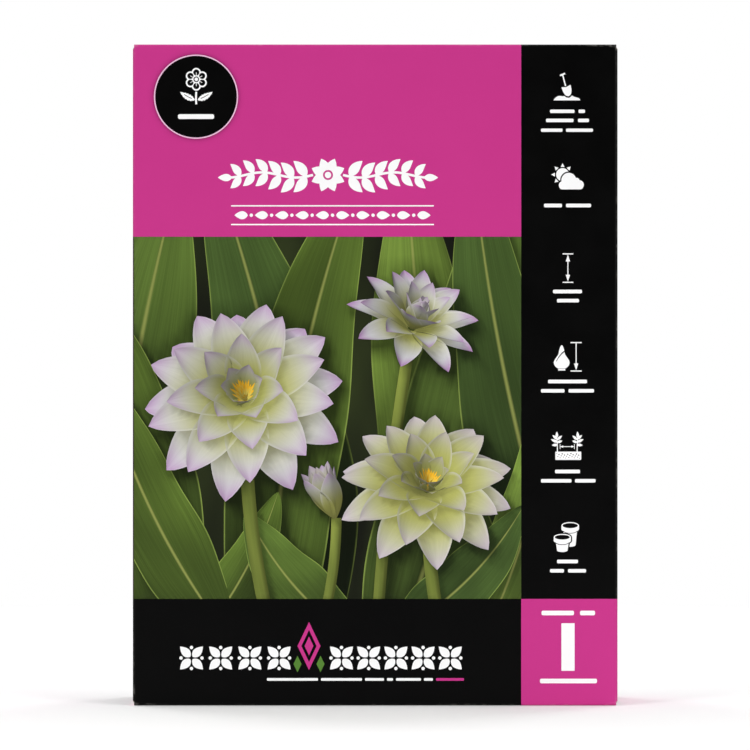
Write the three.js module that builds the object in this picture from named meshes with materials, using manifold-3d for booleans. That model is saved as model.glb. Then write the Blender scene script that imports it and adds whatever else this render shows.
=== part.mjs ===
// A slim tuck-end carton of printed folding board that holds one flower rhizome for sale.
// The rhizome lies in wood shavings inside a punched clear film bag.
// The carton stands upright. X runs across the front, Y runs from the front to the back and Z is up.
// The origin is the middle of the footprint. All sizes are in millimetres.
import * as THREE from "three";
import { mergeVertices } from "three/addons/utils/BufferGeometryUtils.js";
import Module from "manifold-3d";

const wasm = await Module();
wasm.setup();

// Outside size of the closed carton and the thickness of its board
const WIDTH = 150;
const DEPTH = 38;
const HEIGHT = 204.5;
const BOARD = 0.5;

// Air left between pieces that rest on each other, and between flaps that lie on each other
const GAP = 0.3;

// Folding board bends round a small radius at each upright corner
const FOLD_RADIUS = 0.9;
const FOLD_STEPS = 4;

// Levels and planes of the carton that the flaps are set out from
const FRONT = -DEPTH / 2;
const BACK = DEPTH / 2;
const INNER_BACK = BACK - BOARD;
const INNER_SIDE = WIDTH / 2 - BOARD;
const LID_UNDERSIDE = HEIGHT - BOARD;
const WALL_TOP = LID_UNDERSIDE - GAP;
const BOTTOM_FLAP_LEVEL = BOARD + 0.2;

// Flaps
const DUST_FLAP_REACH = 34;
const DUST_FLAP_BACK = 16;
const DUST_FLAP_TAPER = 5;
const DUST_FLAP_CORNER = 4;
const TUCK_HEIGHT = 16;
const TUCK_HALF_WIDTH = 73.4;
const TUCK_CORNER = 9;
const TUCK_LEAN_DEGREES = 13;
const CLOSURE_HALF_WIDTH = 74.6;
const CLOSURE_BACK = INNER_BACK - 0.35;
const LID_FRONT = FRONT + 0.15;
const GLUE_FLAP_REACH = 12;
const GLUE_FLAP_TAPER = 6;

// Cut-outs
const VENT_RADIUS = 4;
const VENT_HEIGHTS = [62, 102, 142];
const THUMB_NOTCH_RADIUS = 10;

// Film bag: a pillow of clear film, full below and pressed flat to a heat seal at the top
const BAG_HALF_WIDTH = 62;
const BAG_HALF_DEPTH = 15;
const BAG_BOTTOM = BOTTOM_FLAP_LEVEL + BOARD + GAP;
const BAG_TOP = 152;
const FILM = 0.35;
const SEAL_HEIGHT = 11;
const SEAL_HALF_WIDTH = 55;
const PUNCH_RADIUS = 3;
const PUNCHES = [[-34, 50], [34, 50], [0, 72], [-34, 94], [34, 94]];

// Wood shavings fill the bag to a sloping top, and the rhizome stands half out of them
const SHAVINGS_TOP = 112;
const SHAVINGS_SLOPE_DEGREES = 7;

// Turns a three.js geometry into a manifold solid, with its shared vertices merged.
function solidOf(geometry) {
  const bare = new THREE.BufferGeometry();
  bare.setAttribute("position", geometry.getAttribute("position"));
  if (geometry.index) bare.setIndex(geometry.index);
  const merged = mergeVertices(bare, 1e-4);
  return new wasm.Manifold(
    new wasm.Mesh({
      numProp: 3,
      vertProperties: new Float32Array(merged.getAttribute("position").array),
      triVerts: new Uint32Array(merged.index.array),
    }),
  );
}

// Turns a manifold solid back into a named three.js mesh.
function meshOf(name, solid, material) {
  const made = solid.getMesh();
  const geometry = new THREE.BufferGeometry();
  geometry.setAttribute("position", new THREE.BufferAttribute(new Float32Array(made.vertProperties), 3));
  geometry.setIndex(new THREE.BufferAttribute(new Uint32Array(made.triVerts), 1));
  geometry.computeVertexNormals();
  const mesh = new THREE.Mesh(geometry, material);
  mesh.name = name;
  return mesh;
}

// A box between two corners, as a solid.
function block(low, high) {
  const size = high.map((value, axis) => value - low[axis]);
  const geometry = new THREE.BoxGeometry(...size);
  geometry.translate(...low.map((value, axis) => value + size[axis] / 2));
  return solidOf(geometry);
}

// A round bar through a point along X or Y, as a solid for cutting holes.
function bar(radius, length, centre, axis, sides = 24) {
  const geometry = new THREE.CylinderGeometry(radius, radius, length, sides);
  if (axis === "x") geometry.rotateZ(Math.PI / 2);
  geometry.translate(...centre);
  return solidOf(geometry);
}

// A rectangle with round corners, used as an outline.
function roundedRectangle(halfWidth, halfDepth, radius) {
  const outline = new THREE.Shape();
  outline.moveTo(-halfWidth + radius, -halfDepth);
  outline.absarc(halfWidth - radius, -halfDepth + radius, radius, -Math.PI / 2, 0, false);
  outline.absarc(halfWidth - radius, halfDepth - radius, radius, 0, Math.PI / 2, false);
  outline.absarc(-halfWidth + radius, halfDepth - radius, radius, Math.PI / 2, Math.PI, false);
  outline.absarc(-halfWidth + radius, -halfDepth + radius, radius, Math.PI, 1.5 * Math.PI, false);
  return outline;
}

// Extrudes a flat outline into a plate of the given thickness, without bevels.
function plate(outline, thickness, curveSegments = FOLD_STEPS) {
  return new THREE.ExtrudeGeometry(outline, { depth: thickness, bevelEnabled: false, curveSegments });
}

// The tuck flap's outline hangs below its crease and has two large round corners.
function tuckOutline(halfWidth, height, corner) {
  const outline = new THREE.Shape();
  outline.moveTo(-halfWidth, 0);
  outline.lineTo(-halfWidth, -height + corner);
  outline.absarc(-halfWidth + corner, -height + corner, corner, Math.PI, 1.5 * Math.PI, false);
  outline.absarc(halfWidth - corner, -height + corner, corner, 1.5 * Math.PI, 2 * Math.PI, false);
  outline.lineTo(halfWidth, 0);
  return outline;
}

// The four upright panels are one tube of board. The side panels are a board's thickness shorter at
// both ends, where the dust flaps fold in. The back panel alone reaches up to the lid's top face.
function sleeve() {
  const outline = roundedRectangle(WIDTH / 2, DEPTH / 2, FOLD_RADIUS);
  outline.holes.push(
    roundedRectangle(INNER_SIDE, INNER_BACK, FOLD_RADIUS - BOARD),
  );
  const trimFrom = WIDTH / 2 - FOLD_RADIUS - GAP;
  const outside = WIDTH / 2 + 1;
  let tube = solidOf(plate(outline, HEIGHT - 0.2));
  tube = tube.subtract(block([-outside, FRONT - 1, WALL_TOP], [outside, BACK - FOLD_RADIUS, HEIGHT + 1]));
  for (const side of [-1, 1]) {
    const [low, high] = side < 0 ? [-outside, -trimFrom] : [trimFrom, outside];
    tube = tube.subtract(block([low, FRONT - 1, WALL_TOP], [high, BACK + 1, HEIGHT + 1]));
    tube = tube.subtract(block([low, FRONT - 1, -1], [high, BACK + 1, BOTTOM_FLAP_LEVEL]));
    for (const height of VENT_HEIGHTS) {
      tube = tube.subtract(bar(VENT_RADIUS, 6, [side * WIDTH / 2, 0, height], "x"));
    }
  }
  return tube.subtract(bar(THUMB_NOTCH_RADIUS, 4, [0, BACK, HEIGHT], "y", 40));
}

// A dust flap folds in from a side panel. Its front edge tapers, and its back edge stays clear of
// the tuck flap that slides in behind it.
function dustFlap(side, level) {
  const crease = side * (WIDTH / 2);
  const tip = side * (WIDTH / 2 - DUST_FLAP_REACH);
  const notch = side * DUST_FLAP_CORNER;
  const frontEdge = FRONT + FOLD_RADIUS;
  const taper = frontEdge + DUST_FLAP_TAPER;
  const outline = new THREE.Shape();
  outline.moveTo(crease, frontEdge);
  outline.lineTo(crease, DUST_FLAP_BACK);
  outline.lineTo(tip + notch, DUST_FLAP_BACK);
  outline.lineTo(tip, DUST_FLAP_BACK - DUST_FLAP_CORNER);
  outline.lineTo(tip, taper + DUST_FLAP_CORNER);
  outline.lineTo(tip + notch, taper);
  const geometry = plate(outline, BOARD);
  geometry.translate(0, 0, level);
  return solidOf(geometry);
}

// The glue flap runs down the inside of the left side panel and is fused to it.
function glueFlap() {
  const outline = new THREE.Shape();
  const bottom = BOTTOM_FLAP_LEVEL + 4;
  const top = WALL_TOP - 6;
  const reach = INNER_BACK - GLUE_FLAP_REACH;
  outline.moveTo(INNER_BACK + 0.1, bottom);
  outline.lineTo(INNER_BACK + 0.1, top);
  outline.lineTo(reach, top - GLUE_FLAP_TAPER);
  outline.lineTo(reach, bottom + GLUE_FLAP_TAPER);
  const geometry = plate(outline, BOARD + 0.1);
  // The outline's first axis becomes Y and its second becomes Z.
  geometry.rotateX(Math.PI / 2).rotateZ(Math.PI / 2);
  geometry.translate(-INNER_SIDE - 0.1, 0, 0);
  return solidOf(geometry);
}

// The bottom panel folds from the front panel. Its tuck flap stands up inside the back panel.
function bottomClosure() {
  const panel = block([-CLOSURE_HALF_WIDTH, FRONT, 0], [CLOSURE_HALF_WIDTH, CLOSURE_BACK, BOARD]);
  const tuck = plate(tuckOutline(TUCK_HALF_WIDTH, TUCK_HEIGHT, TUCK_CORNER), BOARD);
  tuck.rotateX(-Math.PI / 2).translate(0, CLOSURE_BACK - BOARD, 0);
  return panel.add(solidOf(tuck));
}

function cartonBody() {
  let body = sleeve();
  for (const side of [-1, 1]) {
    body = body.add(dustFlap(side, WALL_TOP - BOARD));
    body = body.add(dustFlap(side, BOTTOM_FLAP_LEVEL));
  }
  return body.add(glueFlap()).add(bottomClosure());
}

// The lid is the closure panel that turns on the crease along the front panel's top edge. Its tuck
// flap leans in, so that it passes the back panel as the lid swings up.
function cartonLid() {
  const panel = block(
    [-CLOSURE_HALF_WIDTH, LID_FRONT, LID_UNDERSIDE],
    [CLOSURE_HALF_WIDTH, CLOSURE_BACK, HEIGHT],
  );
  const tuck = plate(tuckOutline(TUCK_HALF_WIDTH, TUCK_HEIGHT, TUCK_CORNER), BOARD);
  const lean = THREE.MathUtils.degToRad(TUCK_LEAN_DEGREES);
  tuck.rotateX(Math.PI / 2 - lean).translate(0, CLOSURE_BACK, HEIGHT - BOARD / 3);
  return panel.add(solidOf(tuck));
}

// How full the bag is at a height from 0 at its bottom to 1 at its seal: it rounds out quickly above
// the bottom and thins along a cosine to the seal.
function fullness(rise) {
  const belly = 0.2;
  if (rise < belly) return Math.sqrt(1 - (1 - rise / belly) ** 2);
  return Math.cos((Math.PI / 2) * ((rise - belly) / (1 - belly)) ** 1.7);
}

// A pillow made of two grids that meet along their edges. Its half thickness is the half depth times
// a round term across the width and the fullness up the height.
function pillow(inset) {
  const across = 16;
  const upward = 14;
  const halfWidth = BAG_HALF_WIDTH - inset;
  const low = BAG_BOTTOM + inset;
  const high = BAG_TOP - inset;
  const halfDepth = BAG_HALF_DEPTH - inset;
  const points = [];
  const faces = [];
  const index = (face, i, j) => (face * (across + 1) + i) * (upward + 1) + j;
  for (const face of [-1, 1]) {
    for (let i = 0; i <= across; i += 1) {
      const u = -Math.cos((Math.PI * i) / across);
      for (let j = 0; j <= upward; j += 1) {
        const v = (1 - Math.cos((Math.PI * j) / upward)) / 2;
        const edge = i === 0 || i === across || j === 0 || j === upward;
        const half = edge ? 0 : halfDepth * Math.sqrt(1 - Math.abs(u) ** 3) * fullness(v);
        points.push(halfWidth * u, face * half, low + (high - low) * v);
      }
    }
  }
  for (const face of [0, 1]) {
    for (let i = 0; i < across; i += 1) {
      for (let j = 0; j < upward; j += 1) {
        const a = index(face, i, j);
        const b = index(face, i + 1, j);
        const c = index(face, i + 1, j + 1);
        const d = index(face, i, j + 1);
        const rising = (i < across / 2) === (j < upward / 2);
        const pair = rising ? [[a, b, c], [a, c, d]] : [[a, b, d], [b, c, d]];
        for (const [p, q, r] of pair) faces.push(...(face === 0 ? [p, q, r] : [p, r, q]));
      }
    }
  }
  const geometry = new THREE.BufferGeometry();
  geometry.setAttribute("position", new THREE.BufferAttribute(new Float32Array(points), 3));
  geometry.setIndex(faces);
  return solidOf(geometry);
}

function filmBag() {
  const seal = block([-SEAL_HALF_WIDTH, -FILM, BAG_TOP - 4], [SEAL_HALF_WIDTH, FILM, BAG_TOP + SEAL_HEIGHT]);
  let bag = pillow(0).add(seal).subtract(pillow(FILM));
  for (const [x, z] of PUNCHES) bag = bag.subtract(bar(PUNCH_RADIUS, DEPTH, [x, 0, z], "y", 16));
  return bag;
}

// A knobbly length of rhizome or root: a lathed body, swollen in the middle, with rings at its nodes.
// It starts at a point and points along a direction, and grow widens it on every side.
function ringedBody({ start, direction, length, radius, rings, sides, steps, tail = 0.35 }, grow) {
  const profile = [];
  for (let k = 0; k <= steps; k += 1) {
    const s = k / steps;
    const swell = Math.sin(Math.PI * (tail + (1 - tail) * s) ** 1.15) ** 0.55;
    const ring = 1 - 0.07 * Math.abs(Math.sin(Math.PI * rings * s));
    const r = k === 0 || k === steps ? 0 : radius * swell * ring + grow;
    profile.push(new THREE.Vector2(r, -grow + (length + 2 * grow) * s));
  }
  const geometry = new THREE.LatheGeometry(profile, sides);
  const turn = new THREE.Quaternion().setFromUnitVectors(
    new THREE.Vector3(0, 1, 0),
    new THREE.Vector3(...direction).normalize(),
  );
  geometry.applyQuaternion(turn);
  geometry.translate(...start);
  return solidOf(geometry);
}

// The rhizome's own pieces: the corm with its bud, two side fingers and three storage roots.
const CORM = {
  start: [0, 0, 84], direction: [0.1, -0.02, 1], length: 40, radius: 9.4,
  rings: 6, sides: 14, steps: 18,
};
const BUD = {
  start: [3.4, -0.6, 118], direction: [0.12, -0.04, 1], length: 17, radius: 4.0,
  rings: 2, sides: 10, steps: 8,
};
const FINGERS = [
  { start: [4, 0, 96], direction: [1, -0.06, 0.42], length: 31, radius: 6.2, rings: 5, sides: 12, steps: 14 },
  { start: [-3, 0, 94], direction: [-1, 0.05, 0.5], length: 27, radius: 5.6, rings: 4, sides: 12, steps: 12 },
];
const ROOT = { rings: 2, sides: 8, steps: 8, tail: 0.02 };
const ROOTS = [
  { ...ROOT, start: [-4, 0, 92], direction: [-0.5, 0.04, -1], length: 34, radius: 3.4 },
  { ...ROOT, start: [1, -1, 90], direction: [0.08, -0.06, -1], length: 40, radius: 3.8 },
  { ...ROOT, start: [5, 0, 92], direction: [0.62, 0.05, -1], length: 33, radius: 3.2 },
];

function rhizomeSolid(grow) {
  let body = ringedBody(CORM, grow);
  for (const piece of [BUD, ...FINGERS, ...ROOTS]) body = body.add(ringedBody(piece, grow));
  return body;
}

// The shavings are the bag's inside, cut off at a sloping top and hollowed to fit the rhizome.
function shavingsFill() {
  const above = new THREE.BoxGeometry(2 * WIDTH, 2 * DEPTH, HEIGHT);
  above.translate(0, 0, HEIGHT / 2);
  above.rotateY(THREE.MathUtils.degToRad(SHAVINGS_SLOPE_DEGREES));
  above.translate(0, 0, SHAVINGS_TOP);
  return pillow(FILM + GAP).subtract(solidOf(above)).subtract(rhizomeSolid(GAP));
}

// Materials
const magentaBoard = new THREE.MeshStandardMaterial({ color: 0xc43a88, roughness: 0.4, metalness: 0 });
const blackBoard = new THREE.MeshStandardMaterial({ color: 0x0b0b0c, roughness: 0.4, metalness: 0 });
const clearFilm = new THREE.MeshStandardMaterial({
  color: 0xeef2f4, roughness: 0.1, metalness: 0, transparent: true, opacity: 0.3,
});
const paleWood = new THREE.MeshStandardMaterial({ color: 0xd2b283, roughness: 0.85, metalness: 0 });
const rhizomeSkin = new THREE.MeshStandardMaterial({ color: 0xb08a52, roughness: 0.7, metalness: 0 });

const carton = new THREE.Group();
carton.add(
  meshOf("carton_body", cartonBody(), blackBoard),
  meshOf("carton_lid", cartonLid(), magentaBoard),
  meshOf("film_bag", filmBag(), clearFilm),
  meshOf("shavings", shavingsFill(), paleWood),
  meshOf("rhizome", rhizomeSolid(0), rhizomeSkin),
);

export default carton;
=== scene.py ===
# %% [markdown]
# This file dresses a printed carton that holds one flower rhizome. The real thing is a single sheet of
# folding board, printed and varnished on one side, creased, glued along one edge and closed by tucked
# flaps. Inside lies a punched film bag with wood shavings and the rhizome.
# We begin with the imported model. It is the fixed frame: every piece below is fitted to its sizes.

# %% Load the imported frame
import math

import bmesh
import bpy
import numpy as np
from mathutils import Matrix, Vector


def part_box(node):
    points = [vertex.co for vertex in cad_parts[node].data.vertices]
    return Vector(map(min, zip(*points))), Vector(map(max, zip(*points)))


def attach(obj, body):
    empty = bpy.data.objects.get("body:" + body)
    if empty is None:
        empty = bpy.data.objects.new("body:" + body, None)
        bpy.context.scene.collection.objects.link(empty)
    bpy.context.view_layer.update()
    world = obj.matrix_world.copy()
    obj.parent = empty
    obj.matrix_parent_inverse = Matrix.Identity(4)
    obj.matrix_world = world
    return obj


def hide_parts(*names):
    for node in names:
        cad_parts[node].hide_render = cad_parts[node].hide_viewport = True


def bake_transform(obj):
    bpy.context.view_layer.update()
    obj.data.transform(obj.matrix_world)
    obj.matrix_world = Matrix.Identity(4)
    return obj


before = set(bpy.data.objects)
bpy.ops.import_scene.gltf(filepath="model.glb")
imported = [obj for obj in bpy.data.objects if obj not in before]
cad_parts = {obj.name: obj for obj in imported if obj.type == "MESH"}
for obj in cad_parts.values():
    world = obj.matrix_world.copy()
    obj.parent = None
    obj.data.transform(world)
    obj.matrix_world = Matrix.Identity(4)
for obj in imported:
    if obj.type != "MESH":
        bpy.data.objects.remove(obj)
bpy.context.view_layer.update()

MM = 0.001
MICRON = 0.000001
print("nodes in the frame:", sorted(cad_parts))

# %% [markdown]
# All sizes start from the frame. The carton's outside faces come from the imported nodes, and the board's
# thickness and the radius of its folds are those of 0.5 mm folding board. The photograph looks straight
# at the front panel, so one scale turns its pixels into places on that panel.

# %% The carton's own sizes
carton_low, carton_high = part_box("carton_body")
LEFT, RIGHT = carton_low.x, carton_high.x
FRONT, BACK = carton_low.y, carton_high.y
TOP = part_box("carton_lid")[1].z
BOARD = 0.5 * MM
FOLD = 0.9 * MM
GAP = 0.3 * MM
WALL_TOP = TOP - BOARD - GAP
SMOOTH_ANGLE = 35.0

# %% From photograph pixels to places on the front panel
PHOTO_LEFT, PHOTO_RIGHT, PHOTO_FOOT = 132.7, 617.7, 705.5
PHOTO_SIZE = 750
PHOTO_MIDDLE = (PHOTO_LEFT + PHOTO_RIGHT) / 2
PIXEL = (RIGHT - LEFT) / (PHOTO_RIGHT - PHOTO_LEFT)


def in_pixels(points):
    """Pixels to metres on the front panel: across from its middle line, and up from its foot."""
    return (np.asarray(points) - (PHOTO_MIDDLE, PHOTO_FOOT)) * (PIXEL, -PIXEL)


COLUMN_EDGE = float(in_pixels((521.2, 0))[0])
HEADER_EDGE, FOOTER_EDGE = in_pixels([(0, 236.8), (0, 598.9)])[:, 1].tolist()
print("colour borders in mm:", [round(v / MM, 2) for v in (COLUMN_EDGE, HEADER_EDGE, FOOTER_EDGE)])

# %% [markdown]
# A small mesh toolbox comes first. Blender's own tools could push each shape into place, but a formula
# keeps its sizes exact and easy to change. So every new shape is worked out as a numpy grid or an
# outline, and is then closed into a solid skin. Each vertex can carry a printed colour and its own place
# on the surface, which the materials read as attributes.

# %% Number helpers
X_AXIS, Y_AXIS, Z_AXIS = np.eye(3)


def smooth_step(value, low, high):
    """0 below low, 1 above high, and 3 t squared minus 2 t cubed in between."""
    t = np.clip((value - low) / (high - low), 0, 1)
    return t * t * (3 - 2 * t)


def blend_colours(first, second, share):
    """The first colour times one minus the share, plus the second times the share."""
    share = np.asarray(share)[..., None]
    return np.asarray(first) * (1 - share) + np.asarray(second) * share


def unit(vectors):
    """Vectors divided by their own length."""
    return vectors / np.maximum(np.linalg.norm(vectors, axis=-1, keepdims=True), 1e-9)


def stacked(*values):
    """Arrays spread to one shape, and joined as the coordinates of points along a new last axis."""
    return np.stack(np.broadcast_arrays(*values), axis=-1)


def quarter_turn(flat):
    """Flat vectors turned a quarter: minus their second number, and then their first."""
    return stacked(-flat[..., 1], flat[..., 0])


# %% One closed shape
def part(vertices, faces, slots=None, colour=None, place=None):
    """Faces are arrays of rows with the same number of corners. If the shape's signed volume, the sum of
    the tetrahedra from its middle to its faces, is negative, every face is reversed."""
    vertices = np.asarray(vertices, float)
    middle = vertices.mean(axis=0)
    volume = 0.0
    for rows in faces:
        corners = vertices[rows] - middle
        for k in range(1, rows.shape[1] - 1):
            volume += np.einsum("ij,ij->", corners[:, 0], np.cross(corners[:, k], corners[:, k + 1]))
    if volume < 0:
        faces = [rows[:, ::-1] for rows in faces]
    return {
        "vertices": vertices,
        "faces": faces,
        "slots": slots if slots is not None else [np.zeros(len(rows), int) for rows in faces],
        "colour": np.ones((len(vertices), 4)) if colour is None else np.asarray(colour).reshape(-1, 4),
        "place": np.zeros((len(vertices), 3)) if place is None else np.asarray(place).reshape(-1, 3),
    }


# %% Grids, skins and prisms
def grid_faces(rows, columns, wrap=False):
    """Quads over a grid whose vertices are counted row by row. A wrapped grid joins its last column
    to its first."""
    r = np.arange(rows - 1)[:, None]
    c = np.arange(columns if wrap else columns - 1)[None, :]
    a = r * columns + c
    b = r * columns + (c + 1) % columns
    return np.stack([a, b, b + columns, a + columns], axis=-1).reshape(-1, 4)


def rim_faces(rows, columns, wrap=False):
    """Quads that join a grid's border to the border of a copy numbered after it."""
    count = rows * columns
    grid = np.arange(count).reshape(rows, columns)
    if wrap:
        loops = [grid[0], grid[-1][::-1]]
    else:
        loops = [np.concatenate([grid[0], grid[1:, -1], grid[-1, -2::-1], grid[-2:0:-1, 0]])]
    made = []
    for loop in loops:
        after = np.roll(loop, -1)
        made.append(np.stack([after, loop, loop + count, after + count], axis=-1))
    return np.concatenate(made)


def skin(outer, inner, wrap=False, slots=(0, 0, 0), colour=None, place=None):
    """A closed shell between two grids of the same size: the outer grid, the inner grid and a rim."""
    rows, columns = outer.shape[:2]
    count = rows * columns
    upper = grid_faces(rows, columns, wrap)
    lower = upper[:, ::-1] + count
    rim = rim_faces(rows, columns, wrap)
    fill = [np.broadcast_to(slot, len(faces)) for slot, faces in zip(slots, (upper, lower, rim))]
    double = [None if values is None else np.concatenate([values.reshape(count, -1)] * 2)
              for values in (colour, place)]
    vertices = np.concatenate([outer.reshape(-1, 3), inner.reshape(-1, 3)])
    return part(vertices, [upper, lower, rim], fill, *double)


def prism(first, second, slots=(0, 0, 0)):
    """A closed shape between two outlines: each is a face, and each pair of edges has a wall. The slots
    name the finish of the first face, the second face and the walls."""
    count = len(first)
    loop = np.arange(count)
    after = np.roll(loop, -1)
    walls = np.stack([loop, after, after + count, loop + count], axis=-1)
    faces = [loop[None, ::-1], loop[None, :] + count, walls]
    return part(np.concatenate([first, second]), faces,
                [np.full(len(rows), slot) for rows, slot in zip(faces, slots)])


# %% From shapes to a finished piece
def build(name, parts, materials, smooth_angle=SMOOTH_ANGLE):
    """Joins shapes into one mesh object, with its attributes, its materials and its sharp edges."""
    start = 0
    rows, slots = [], []
    for one in parts:
        for faces, fill in zip(one["faces"], one["slots"]):
            rows.extend((faces + start).tolist())
            slots.append(fill)
        start += len(one["vertices"])
    mesh = bpy.data.meshes.new(name)
    mesh.from_pydata(np.concatenate([one["vertices"] for one in parts]), [], rows)
    mesh.polygons.foreach_set("material_index", np.concatenate(slots).astype(np.int32))
    colour = mesh.attributes.new("ink", "FLOAT_COLOR", "POINT")
    colour.data.foreach_set("color", np.concatenate([one["colour"] for one in parts]).ravel())
    place = mesh.attributes.new("place", "FLOAT_VECTOR", "POINT")
    place.data.foreach_set("vector", np.concatenate([one["place"] for one in parts]).ravel())
    for material in materials:
        mesh.materials.append(material)
    mesh.shade_smooth()
    mesh.set_sharp_from_angle(angle=math.radians(smooth_angle))
    mesh.validate()
    piece = bpy.data.objects.new(name, mesh)
    bpy.context.scene.collection.objects.link(piece)
    return piece


def finish_piece(piece, body="carton", stands_for=None):
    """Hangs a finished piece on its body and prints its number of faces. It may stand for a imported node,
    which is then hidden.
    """
    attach(piece, body)
    if stands_for:
        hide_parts(stands_for)
    print(f"{piece.name}: {len(piece.data.polygons)} faces on {body}")


# %% [markdown]
# Flat print lies on the carton's sides. Each side is described by a point, a direction across, a
# direction up and the direction out of it. A printed mark is a closed sheet of ink a few thousandths of
# a millimetre thick. It is real geometry, not a texture, so its edges stay sharp at any distance.

# %% Sides of the carton that carry print
INK = 3 * MICRON
LAYER = 8 * MICRON


def in_millimetres(points):
    """Millimetres on a side to metres."""
    return points * MM


def side(origin, across, up, measured=in_millimetres):
    """A flat side: a point on it, two directions in it, and how its marks are measured. It faces along
    the cross product of the directions."""
    return {"origin": np.array(origin), "across": across, "up": up, "out": np.cross(across, up),
            "measured": measured}


FRONT_SIDE = side((0, FRONT, 0), X_AXIS, Z_AXIS, in_pixels)
BACK_SIDE = side((0, BACK, 0), -X_AXIS, Z_AXIS)
RIGHT_SIDE = side((RIGHT, 0, 0), Y_AXIS, Z_AXIS)
LEFT_SIDE = side((LEFT, 0, 0), -Y_AXIS, Z_AXIS)
LID_SIDE = side((0, 0, TOP), X_AXIS, Y_AXIS)


def lay(points, on, lift):
    """Places flat points on a side: its point, plus across and up, plus the lift straight out."""
    flat = on["origin"] + points[..., :1] * on["across"] + points[..., 1:2] * on["up"]
    return flat + np.asarray(lift)[..., None] * on["out"]


# %% [markdown]
# Materials come next. Several finishes share the same effects: the tooth of the board under the
# varnish, the faint unevenness of printed ink, scuffs along the folds, and streaks that run along a
# leaf, a petal or a curl of wood. Photographs of board and wood could be wrapped on, but noise has no
# seams and no end. Each effect is a node group that is made once, and each material gives it values.

# %% Colours
def srgb(red, green, blue):
    """Turns a colour in 0 to 255 screen values into linear light: (c / 255) to the 2.4 curve."""
    c = np.array([red, green, blue], float) / 255
    return np.where(c <= 0.04045, c / 12.92, ((c + 0.055) / 1.055) ** 2.4)


def rgba(red, green, blue):
    """The same colour with full cover, as a node socket takes it."""
    return (*srgb(red, green, blue), 1.0)


# %% Adding and feeding nodes
def feed(tree, node, inputs):
    """Gives a node its inputs. Each one is a value, or another node's output to link to it."""
    for socket, value in inputs.items():
        if isinstance(value, bpy.types.NodeSocket):
            tree.links.new(value, node.inputs[socket])
        else:
            node.inputs[socket].default_value = value
    return node


def add(tree, kind, inputs=None, **settings):
    """Adds a shader node with its settings and its inputs."""
    made = tree.nodes.new("ShaderNode" + kind)
    for option, value in settings.items():
        setattr(made, option, value)
    return feed(tree, made, inputs or {})


# %% Nodes that come up again and again
def math_node(tree, operation, first, second=0.5, third=0.0):
    """A Math node with its operands, and the socket of its answer."""
    return add(tree, "Math", {0: first, 1: second, 2: third}, operation=operation).outputs[0]


def scaled(tree, vector, strength):
    """A colour or another vector times a number."""
    return add(tree, "VectorMath", {0: vector, "Scale": strength}, operation="SCALE").outputs["Vector"]


def mix_colour(tree, factor, first, second):
    """A colour Mix node, and the socket of its answer."""
    return add(tree, "Mix", {"Factor": factor, 6: first, 7: second}, data_type="RGBA").outputs[2]


def noise(tree, where, scale, detail):
    """The value of a Noise Texture at a place."""
    return add(tree, "TexNoise", {"Vector": where, "Scale": scale, "Detail": detail}).outputs["Fac"]


def ramp(tree, value, low, high, start=0.0, end=1.0, **settings):
    """A Map Range node: the start up to the low value, the end from the high one, and even between."""
    inputs = {"Value": value, "From Min": low, "From Max": high, "To Min": start, "To Max": end}
    return add(tree, "MapRange", inputs, **settings).outputs["Result"]


def object_place(tree):
    """Where a point is in the object's own coordinates, which are the carton's."""
    return add(tree, "TexCoord").outputs["Object"]


def axes_of(tree, vector):
    """The three numbers of a vector, as the sockets X, Y and Z."""
    return add(tree, "SeparateXYZ", {0: vector}).outputs


def painted(tree, attribute):
    """The sockets of an attribute that a mesh carries."""
    return add(tree, "Attribute", attribute_name=attribute).outputs


def raise_surface(tree, shader, height, distance, strength=1.0):
    """Feeds a height to the shader's Normal through a Bump node."""
    bump = add(tree, "Bump", {"Height": height, "Distance": distance, "Strength": strength})
    feed(tree, shader, {"Normal": bump.outputs["Normal"]})


# %% Node groups
MID_GREY = (0.5, 0.5, 0.5, 1.0)


def new_group(name, inputs, outputs):
    """An empty node group: the tree, the sockets that it is given, and its output node. Each input has
    a usual value, and is a colour where that has four numbers. Each output has its kind."""
    group = bpy.data.node_groups.new(name, "ShaderNodeTree")
    for label, value in inputs.items():
        kind = "NodeSocketFloat" if np.isscalar(value) else "NodeSocketColor"
        group.interface.new_socket(label, in_out="INPUT", socket_type=kind).default_value = value
    for label, kind in outputs.items():
        group.interface.new_socket(label, in_out="OUTPUT", socket_type="NodeSocket" + kind)
    return group, group.nodes.new("NodeGroupInput").outputs, group.nodes.new("NodeGroupOutput")


def use_group(tree, group, inputs):
    """Places a node group in a material with its own values."""
    return add(tree, "Group", inputs, node_tree=group).outputs


# %% Effect: the tooth and slow waves of folding board
def make_board_tooth():
    """Height = fine noise at a fifth of a millimetre, plus slow waves a few centimetres long."""
    group, given, answer = new_group("board_tooth", {"Tooth": 0.3, "Waves": 1.0}, {"Height": "Float"})
    where = object_place(group)
    tooth = math_node(group, "MULTIPLY", noise(group, where, 3200.0, 2.0), given["Tooth"])
    waves = math_node(group, "MULTIPLY", noise(group, where, 24.0, 1.0), given["Waves"])
    feed(group, answer, {"Height": math_node(group, "ADD", tooth, waves)})
    return group


board_tooth = make_board_tooth()


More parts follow.
